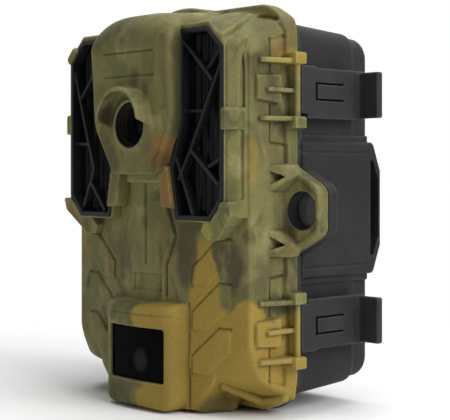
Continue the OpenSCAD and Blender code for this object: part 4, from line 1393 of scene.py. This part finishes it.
FINISHES = {
    "camo": lambda chosen: camouflage(),
    "case": lambda chosen: moulded("Housing Plastic", chosen.case_black, 0.5),
    "latch": lambda chosen: moulded("Latch Plastic", rgba(chosen.case_black, 1.3), 0.46),
    "panel": lambda chosen: moulded("Panel Plastic", chosen.case_black, 0.55, 1200.0, 0.2),
    "tray": lambda chosen: moulded("Tray Plastic", rgba(chosen.case_black, 0.6), 0.45),
    "rubber": lambda chosen: moulded("Seal Rubber", (0.012, 0.012, 0.012), 0.7, 900.0, 0.1, 0.2),
    "keys": lambda chosen: moulded("Key Plastic", chosen.key_grey, 0.45, 1600.0, 0.08),
    "card": lambda chosen: moulded("Card Plastic", chosen.card_blue, 0.4, 1600.0, 0.06),
    "lamp_window": lambda chosen: glossy("Lamp Window", chosen.filter_black, 0.16, 0.06),
    "grille": lambda chosen: glossy("Grille Plastic", chosen.grille_black, 0.38, 0.12),
    "sensor_window": lambda chosen: sensor_sheet("Sensor Window", rgba(chosen.filter_black, 0.5)),
    "screen": lambda chosen: glossy("Screen Face", (0.012, 0.016, 0.022), 0.1, 0.3),
    "lens_black": lambda chosen: glossy("Lens Black", (0.007, 0.007, 0.008), 0.4, 0.08),
    "lens_element": lambda chosen: glossy("Lens Element", (0.002, 0.003, 0.004), 0.05, 0.1),
    "steel": lambda chosen: metal("Plated Steel", (0.62, 0.61, 0.59), 0.28),
    "brass": lambda chosen: metal("Turned Brass", (0.74, 0.53, 0.23), 0.26),
    "glass": lambda chosen: pane("Window Glass", (0.008, 0.008, 0.01), 0.22),
    "lamp": lambda chosen: clear("Lamp Lens", (0.86, 0.88, 0.96), 0.08),
    "filter": lambda chosen: clear("Filter Glass", (0.62, 0.30, 0.38), 0.02),
    "board": lambda chosen: circuit_board("Circuit Board", chosen.board_green),
    "wrap": lambda chosen: glossy("Cell Wrap", chosen.cell_copper, 0.22, 0.3),
    "band": lambda chosen: glossy("Cell Band", (0.015, 0.015, 0.016), 0.25, 0.3),
}
made_finishes = {}


def finish(key):
    """A finish by its name, made the first time it is asked for."""
    if key not in made_finishes:
        made_finishes[key] = FINISHES[key](colours())
    return made_finishes[key]


# What a user would change

def colour_property(name, description, default):
    """A colour of three channels from 0 to 1."""
    return FloatVectorProperty(name=name, description=description, default=default, subtype="COLOR", size=3,
                               min=0.0, max=1.0)


def length_property(name, description, default):
    """A length, its default given in millimetres."""
    return FloatProperty(name=name, description=description, default=default * MM, min=0.0, unit="LENGTH",
                         precision=5)


class TrailCameraColours(bpy.types.PropertyGroup):
    """Colours of the print, the plastics and the boards."""
    camo_khaki: colour_property("Khaki", "Ground colour of the camouflage print", (0.172, 0.160, 0.063))
    camo_green: colour_property("Green", "Green smears of the print", (0.114, 0.117, 0.042))
    camo_brown: colour_property("Brown", "Brown smears of the print", (0.140, 0.108, 0.046))
    # Also the colour of the patches that paint shade on the lens pod
    camo_shade: colour_property("Shade", "Dark grey-green smears of the print", (0.066, 0.060, 0.034))
    camo_pale: colour_property("Pale", "Pale smears and rubbed edges", (0.29, 0.262, 0.120))
    camo_ochre: colour_property("Ochre", "Big ochre patch of the print", (0.292, 0.205, 0.045))
    camo_rust: colour_property("Rust", "Orange-brown touches of the print", (0.230, 0.118, 0.036))
    camo_lime: colour_property("Lime", "Yellow-green touches of the print", (0.27, 0.245, 0.05))
    # Dirt and painted shade in the engraved lines and hollows, and the dark patches that paint shade on the
    # lens pod
    camo_dirt: colour_property("Dirt", "Dark colour in the engraved lines", (0.052, 0.046, 0.022))
    case_black: colour_property("Case Black", "Plastic of rear case and latches", (0.019, 0.019, 0.0193))
    filter_black: colour_property("Filter Black", "Windows of lamps and sensor", (0.004, 0.004, 0.0045))
    grille_black: colour_property("Grille Black", "Ribs over the lamp windows", (0.011, 0.011, 0.012))
    key_grey: colour_property("Key Grey", "Buttons on the inner panel", (0.11, 0.11, 0.115))
    card_blue: colour_property("Card Blue", "Memory card", (0.025, 0.05, 0.13))
    board_green: colour_property("Board Green", "Circuit boards", (0.012, 0.075, 0.028))
    cell_copper: colour_property("Cell Copper", "Wrap of the cells", (0.36, 0.17, 0.05))
    dust: colour_property("Dust", "Dust on what faces up", (0.40, 0.37, 0.30))


class TrailCameraSizes(bpy.types.PropertyGroup):
    """Spacing of points on the mouldings and rounding of the plain fittings."""
    cover_pitch: length_property("Cover Detail", "Spacing of points on the door", 0.56)
    pod_pitch: length_property("Pod Detail", "Spacing of points on the pods, rails and grilles", 0.42)
    rear_pitch: length_property("Rear Detail", "Spacing of points on the rear case", 0.78)
    fitting_pitch: length_property("Fitting Detail", "Spacing of points on latches and brackets", 0.45)
    fitting_edge: length_property("Fitting Edge", "Rounding of the plain fittings' edges", 0.2)


def size_mm(key):
    """One of the user's sizes in millimetres."""
    return getattr(bpy.context.scene.trail_camera_sizes, key) / MM


# Operators

DOOR, REAR = "front_door", "rear_housing"


class TRAILCAM_OT_cover(bpy.types.Operator):
    """Make the door's cover with its ribs, ear and engraved front"""
    bl_idname = "trailcam.cover"
    bl_label = "Door Cover"
    bl_options = {"REGISTER", "UNDO"}

    def execute(self, context):
        wall, behind, block = 2.2, 1.0, 90.0
        look = (DOOR, "cover_camo", finish("camo"))
        cover = mould("door_cover", cover_moulding(), size_mm("cover_pitch"), *look,
                      ["front_shell", "latch_pins"])
        hollow(cover, both_halves(cover_planes(wall)) + [((0, 1, 0), behind)], block)
        settle_piece(cover, *look)
        return {"FINISHED"}


class TRAILCAM_OT_pods(bpy.types.Operator):
    """Make the lens pod and the sensor pod on the door"""
    bl_idname = "trailcam.pods"
    bl_label = "Pods"
    bl_options = {"REGISTER", "UNDO"}

    def execute(self, context):
        for name, moulding in (("lens_pod", lens_pod_moulding()), ("sensor_pod", sensor_pod_moulding())):
            mould(name, moulding, size_mm("pod_pitch"), DOOR, "cover_camo", finish("camo"))
        return {"FINISHED"}


class TRAILCAM_OT_rails(bpy.types.Operator):
    """Make the rails with their clips and claws beside the lamp panels"""
    bl_idname = "trailcam.rails"
    bl_label = "Side Rails"
    bl_options = {"REGISTER", "UNDO"}

    def execute(self, context):
        for side, capped, mirror in (("right", False, None), ("left", True, 0)):
            mould("rail_" + side, rail_moulding(capped), size_mm("pod_pitch"), DOOR, "cover_camo",
                  finish("camo"), ["side_rail_" + side], mirror)
        return {"FINISHED"}


class TRAILCAM_OT_lamp_panels(bpy.types.Operator):
    """Make the lamp panels: windows, slats, grilles, lamps and boards"""
    bl_idname = "trailcam.lamp_panels"
    bl_label = "Lamp Panels"
    bl_options = {"REGISTER", "UNDO"}

    def execute(self, context):
        grille_pitch = size_mm("pod_pitch") * 0.85
        window_pitch = grille_pitch * 1.3
        for side, sign, mirror, ribs in (("right", 1, None, RIGHT_RIBS), ("left", -1, 0, LEFT_RIBS)):
            mould("lamp_grille_ribs_" + side, lattice_moulding(ribs), grille_pitch, DOOR, "grille_black",
                  finish("grille"), ["lamp_grille_" + side], mirror)
            mould("lamp_filter_" + side, window_moulding(), window_pitch, DOOR, "lamp_filter",
                  finish("lamp_window"), ["lamp_window_" + side], mirror)
            dress("lamp_board_" + side, finish("board"), 0.15)
            turned("lamp_set_" + side, self.lamps(sign), DOOR, "lamp_clear", finish("lamp"),
                   ["lamps_" + side], 24)
        return {"FINISHED"}

    def lamps(self, sign):
        """Turned parts of the lamps on one board, in columns and rows."""
        first_x, first_z, column_step, row_step = 22.4, 1.5, 6, 7.6
        profile = [(0, -20.55), (0.6, -20.5), (1.1, -20.2), (1.4, -19.7), (1.45, -17.4), (1.5, -17.2),
                   (1.5, -16.2), (0, -16.2)]
        return [("y", (sign * (first_x + column_step * column), 0, first_z + row_step * row), profile)
                for column in range(3) for row in range(6)]


class TRAILCAM_OT_lens(bpy.types.Operator):
    """Make the lens: front glass, barrel, elements, holder, filter and sensor"""
    bl_idname = "trailcam.lens"
    bl_label = "Lens"
    bl_options = {"REGISTER", "UNDO"}

    def execute(self, context):
        glass = [(0, -29.0), (6.9, -29.0), (7.2, -28.8), (7.38, -28.5), (7.38, -27.9), (7.2, -27.72),
                 (0, -27.72)]
        barrel = [(6.6, -27.3), (6.6, -12), (4.02, -12), (4.02, -22), (5.02, -22), (5.02, -25.5),
                  (5.1, -25.9), (5.4, -26.1), (5.4, -26.7), (5.7, -26.8), (5.7, -27.4), (6.0, -27.65),
                  (6.4, -27.6)]
        lining = [(7.36, -31.3), (7.36, -29.05), (6.3, -29.05), (6.3, -29.4), (6.6, -29.6), (6.6, -30.2),
                  (6.85, -30.4), (6.9, -31.0), (7.1, -31.4)]
        curve, half_width, crest, seat = 8.6, 5.0, -18.4, -24.6
        angles = np.linspace(0, math.asin(half_width / curve), 14)
        dome = [(curve * math.sin(a), crest - curve * math.cos(a)) for a in angles]
        front = dome + [(half_width, seat), (0, seat)]
        rear = [(0, -18.6), (2, -18.55), (3.4, -18.4), (3.98, -18.2), (3.98, -16.6), (0, -16.6)]
        for name, slot, key, node, profiles in (
                ("lens_front_glass", "lens_glass", "glass", "lens_window", [glass]),
                ("lens_tube", "lens_black", "lens_black", "lens_barrel", [barrel, lining]),
                ("lens_glass_elements", "lens_glass", "lens_element", "lens_elements", [front, rear])):
            parts = [("y", (0, 0, LENS_Z), profile) for profile in profiles]
            turned(name, parts, DOOR, slot, finish(key), [node])
        dress("lens_holder", finish("lens_black"), size_mm("fitting_edge"))
        dress("image_sensor", finish("screen"), 0.1)
        dress("ir_filter", finish("filter"), 0.1)
        return {"FINISHED"}


class TRAILCAM_OT_motion_sensor(bpy.types.Operator):
    """Make the motion sensor and its curved window"""
    bl_idname = "trailcam.motion_sensor"
    bl_label = "Motion Sensor"
    bl_options = {"REGISTER", "UNDO"}

    def execute(self, context):
        mould("sensor_lens_sheet", sensor_sheet_moulding(), size_mm("pod_pitch"), DOOR, "sensor_filter",
              finish("sensor_window"), ["sensor_window"])
        dress("sensor_holder", finish("lens_black"), size_mm("fitting_edge"))
        can = [(0, -18.5), (1.9, -18.5), (1.9, -18.35), (3.9, -18.35), (4.2, -18.05), (4.2, -14.7),
               (4.7, -14.6), (4.7, -14.0), (0, -14.0)]
        turned("motion_sensor_can", [("y", (0, 0, -47), can)], DOOR, "contact_steel", finish("steel"),
               ["motion_sensor"], 40)
        return {"FINISHED"}


class TRAILCAM_OT_rear_case(bpy.types.Operator):
    """Make the rear case with its strap brackets, seal, screws and tripod socket"""
    bl_idname = "trailcam.rear_case"
    bl_label = "Rear Case"
    bl_options = {"REGISTER", "UNDO"}

    def execute(self, context):
        walls = ["rear_" + part for part in ("back", "left", "right", "top", "base")]
        look = (REAR, "rear_plastic", finish("case"))
        mould("rear_case", rear_moulding(), size_mm("rear_pitch"), *look, walls)
        for side, with_lock, mirror in (("right", True, None), ("left", False, 0)):
            mould("strap_band_" + side, bracket_moulding(with_lock), size_mm("fitting_pitch"), *look,
                  ["strap_bracket_" + side], mirror, SIDE_DROP)
        dress("door_seal", finish("rubber"), 0.3)
        head = [(0, 35.4), (0.9, 35.5), (1.0, 36.0), (1.7, 35.95), (2.2, 35.6), (2.3, 35.3), (2.3, 34.4),
                (0, 34.4)]
        screws = [("y", (x, 0, z), head) for x in (-SCREW_X, SCREW_X) for z in (-SCREW_Z, SCREW_Z)]
        turned("case_screws", screws, REAR, "contact_steel", finish("steel"), (), 32)
        turned("tripod_socket", [("z", (0, TRIPOD_Y, 0), self.socket())], REAR, "insert_brass",
               finish("brass"), ["tripod_insert"])
        return {"FINISHED"}

    def socket(self):
        """Profile of the tripod socket with the ridges of its thread."""
        base, top, ridge_step = -66.5, -58.0, 1.15
        thread = []
        for ridge in range(7):
            z = base + 0.5 + ridge_step * ridge
            thread += [(2.65, z), (3.05, z + 0.5), (3.05, z + 0.65)]
        return [(2.9, base), (4.2, base), (4.6, base + 0.4), (4.6, top), (2.6, top)] + thread[::-1]


class TRAILCAM_OT_latches(bpy.types.Operator):
    """Make the two latches and the hinge pins"""
    bl_idname = "trailcam.latches"
    bl_label = "Latches and Pins"
    bl_options = {"REGISTER", "UNDO"}

    def execute(self, context):
        latch_drop = SIDE_DROP - 0.42
        for side, mirror in (("upper", None), ("lower", 2)):
            mould("latch_lever_" + side, latch_moulding(), size_mm("fitting_pitch") * 0.8, "latch_" + side,
                  "latch_plastic", finish("latch"), ["latch_" + side], mirror, latch_drop)
        half, chamfer = 12.2, 0.25
        pins = []
        for sign in (1, -1):
            low, high = sign * LATCH_Z - half - SIDE_DROP, sign * LATCH_Z + half - SIDE_DROP
            tip = PIN_RADIUS - chamfer
            profile = [(0, low), (tip, low), (PIN_RADIUS, low + chamfer), (PIN_RADIUS, high - chamfer),
                       (tip, high), (0, high)]
            pins.append(("z", (-PIVOT[0], PIVOT[1], 0), profile))
        turned("hinge_pins_steel", pins, REAR, "contact_steel", finish("steel"), ["hinge_pins"], 24)
        return {"FINISHED"}


class TRAILCAM_OT_inner_panel(bpy.types.Operator):
    """Finish the inner panel with its screen, keys, switch, card and sockets"""
    bl_idname = "trailcam.inner_panel"
    bl_label = "Inner Panel"
    bl_options = {"REGISTER", "UNDO"}

    def execute(self, context):
        edge = size_mm("fitting_edge")
        for node, key, width in (
                ("inner_panel", "panel", edge * 1.5), ("screen", "screen", edge),
                ("screen_window", "glass", edge), ("main_board", "board", 0.1),
                ("key_switches", "steel", 0.15), ("slide_switch_body", "steel", 0.1),
                ("power_switch", "keys", edge), ("card_socket", "steel", 0.12),
                ("data_socket", "steel", 0.12), ("memory_card", "card", 0.15),
                ("panel_screws", "steel", 0.08)):
            dress(node, finish(key), width)
        mould("panel_trim", trim_moulding(), size_mm("fitting_pitch") * 0.75, DOOR, "panel_plastic",
              finish("panel"))
        key = [(0, 1.0), (1.6, 1.02), (2.5, 1.1), (2.9, 1.05), (3.2, 0.7), (3.2, -2.75), (4.2, -2.75),
               (4.2, -4.1), (0, -4.1)]
        for name, x in KEY_PLACES.items():
            turned("key_" + name, [("y", (x, 0, KEY_Z), key)], "button_" + name, "button_plastic",
                   finish("keys"), ["button_" + name], 40)
        return {"FINISHED"}


class TRAILCAM_OT_batteries(bpy.types.Operator):
    """Make the cells and contacts in the battery tray"""
    bl_idname = "trailcam.batteries"
    bl_label = "Batteries"
    bl_options = {"REGISTER", "UNDO"}

    def execute(self, context):
        dress("battery_tray", finish("tray"), 0.3)
        dress("battery_contacts", finish("steel"), 0.15)
        body = [(0, -25.2), (6.4, -25.2), (7.0, -25.0), (7.2, -24.6), (7.2, 7.0), (7.2, 23.2), (7.0, 23.7),
                (6.2, 23.95), (5.6, 23.8), (3.0, 24.0), (2.6, 24.2), (2.5, 25.1), (2.2, 25.2), (0, 25.2)]
        band = [(7.22, 8.0), (7.25, 8.1), (7.25, 22.9), (7.22, 23.0)]
        turned("cell_bodies", self.row(body), REAR, "cell_wrap", finish("band"), ["battery_cells"], 48)
        turned("cell_bands", self.row(band), REAR, "cell_wrap", finish("wrap"), (), 48)
        return {"FINISHED"}

    def row(self, profile):
        """Turned parts of six cells, one above the other, with their ends in turn left and right."""
        count, depth, step = 6, 23.4, 15.3
        parts = []
        for k in range(count):
            way = -1 if k % 2 else 1
            centre = (0, depth, (k - (count - 1) / 2) * step)
            parts.append(("x", centre, [(radius, way * along) for radius, along in profile]))
        return parts


# Camera of the photograph: pixels of an image 450 wide, then places in body-frame millimetres
IMAGE_WIDTH = 450
FOCAL_PIXELS = 1243
SHIFT_PIXELS = 40
SENSOR_WIDTH = 36.0
VIEW_TURN = math.radians(47)
CAMERA_SIDE, CAMERA_AWAY, CAMERA_HEIGHT = 8.3, 427, 11.8
# Name, place, aim, size and power of each lamp, in metres and watts
LIGHTS = (("key", (1.2, 0.05, 0.75), (0, 0, 0.06), 0.9, 15.2),
          ("top", (0.1, 0.1, 1.3), (0, 0, 0.05), 1.1, 14.0),
          ("fill", (-0.3, -1.4, 0.5), (0, 0, 0.06), 1.0, 1.7))
WORLD_LIGHT = 0.14
FLOOR_HALF = 4.0
FLOOR_FADE = (0.085, 0.24)


class TRAILCAM_OT_stage(bpy.types.Operator):
    """Make the floor, the lights, the background and the camera"""
    bl_idname = "trailcam.stage"
    bl_label = "Stage"
    bl_options = {"REGISTER", "UNDO"}

    def execute(self, context):
        context.scene.view_settings.view_transform = "Standard"
        self.camera(context.scene)
        self.world(context.scene)
        self.floor(context.scene)
        self.lights(context.scene)
        return {"FINISHED"}

    def camera(self, scene):
        """Camera at the photograph's angle."""
        data = bpy.data.cameras.new("camera")
        data.sensor_fit = "HORIZONTAL"
        data.sensor_width = SENSOR_WIDTH
        data.lens = SENSOR_WIDTH * FOCAL_PIXELS / IMAGE_WIDTH
        data.shift_y = -SHIFT_PIXELS / IMAGE_WIDTH
        data.clip_start = 0.01
        camera = bpy.data.objects.new("camera", data)
        across, ahead = math.cos(VIEW_TURN), math.sin(VIEW_TURN)
        camera.location = to_row(CAMERA_SIDE * across + CAMERA_AWAY * ahead,
                                 CAMERA_SIDE * ahead - CAMERA_AWAY * across, CAMERA_HEIGHT)
        camera.rotation_euler = (math.pi / 2, 0, VIEW_TURN)
        scene.collection.objects.link(camera)
        scene.camera = camera

    def world(self, scene):
        """White where it is seen, and dim as a light."""
        world = bpy.data.worlds.new("studio")
        world.use_nodes = True
        tree = world.node_tree
        back = tree.nodes["Background"]
        back.inputs["Color"].default_value = (1, 1, 1, 1)
        strength = add(tree, "ShaderNodeMix", {0: seen_directly(tree), 2: WORLD_LIGHT, 3: 1.0},
                       data_type="FLOAT")
        tree.links.new(strength.outputs[0], back.inputs["Strength"])
        scene.world = world

    def floor(self, scene):
        """Pale floor that keeps the shadow and fades to white away from the object."""
        bm = bmesh.new()
        bmesh.ops.create_grid(bm, x_segments=8, y_segments=8, size=FLOOR_HALF)
        mesh = bpy.data.meshes.new("floor")
        bm.to_mesh(mesh)
        bm.free()
        floor = bpy.data.objects.new("floor", mesh)
        material, tree, surface = shader("Studio Floor", Roughness=0.9, Specular_IOR_Level=0.1,
                                         Base_Color=(0.93, 0.93, 0.93, 1))
        away = vector_calc(tree, "LENGTH", place(tree))
        far = calc(tree, "MULTIPLY", spread(tree, away, *FLOOR_FADE), seen_directly(tree))
        glow = add(tree, "ShaderNodeEmission")
        blend = add(tree, "ShaderNodeMixShader", {0: far, 1: surface.outputs[0], 2: glow.outputs[0]})
        tree.links.new(blend.outputs[0], tree.nodes["Material Output"].inputs["Surface"])
        floor.data.materials.append(material)
        scene.collection.objects.link(floor)

    def lights(self, scene):
        """Soft lamps round the object."""
        for name, spot, aim, size, energy in LIGHTS:
            light = bpy.data.lights.new(name, "AREA")
            light.size = size
            light.energy = energy
            lamp = bpy.data.objects.new(name, light)
            lamp.location = spot
            lamp.rotation_euler = (Vector(aim) - Vector(spot)).to_track_quat("-Z", "Y").to_euler()
            scene.collection.objects.link(lamp)


class TRAILCAM_PT_panel(bpy.types.Panel):
    """Lists the pieces and the stage of the trail camera"""
    bl_idname = "TRAILCAM_PT_panel"
    bl_label = "Trail Camera"
    bl_space_type = "VIEW_3D"
    bl_region_type = "UI"
    bl_category = "Trail Camera"

    def draw(self, context):
        for settings in (context.scene.trail_camera_sizes, context.scene.trail_camera_colours):
            box = self.layout.box()
            for key in settings.__annotations__:
                box.prop(settings, key)
        for operator in OPERATORS:
            self.layout.operator(operator.bl_idname)


OPERATORS = (TRAILCAM_OT_stage, TRAILCAM_OT_cover, TRAILCAM_OT_pods, TRAILCAM_OT_rails,
             TRAILCAM_OT_lamp_panels, TRAILCAM_OT_lens, TRAILCAM_OT_motion_sensor, TRAILCAM_OT_rear_case,
             TRAILCAM_OT_latches, TRAILCAM_OT_inner_panel, TRAILCAM_OT_batteries)
CLASSES = (TrailCameraColours, TrailCameraSizes) + OPERATORS + (TRAILCAM_PT_panel,)


def register():
    """Registers the classes and the user's settings."""
    for cls in CLASSES:
        bpy.utils.register_class(cls)
    bpy.types.Scene.trail_camera_colours = PointerProperty(type=TrailCameraColours)
    bpy.types.Scene.trail_camera_sizes = PointerProperty(type=TrailCameraSizes)


def unregister():
    """Takes the user's settings and the classes away again."""
    del bpy.types.Scene.trail_camera_sizes
    del bpy.types.Scene.trail_camera_colours
    for cls in reversed(CLASSES):
        bpy.utils.unregister_class(cls)


def main():
    """Builds everything through the operators."""
    register()
    for operator in OPERATORS:
        group_name, name = operator.bl_idname.split(".")
        getattr(getattr(bpy.ops, group_name), name)()


if __name__ == "__main__":
    main()
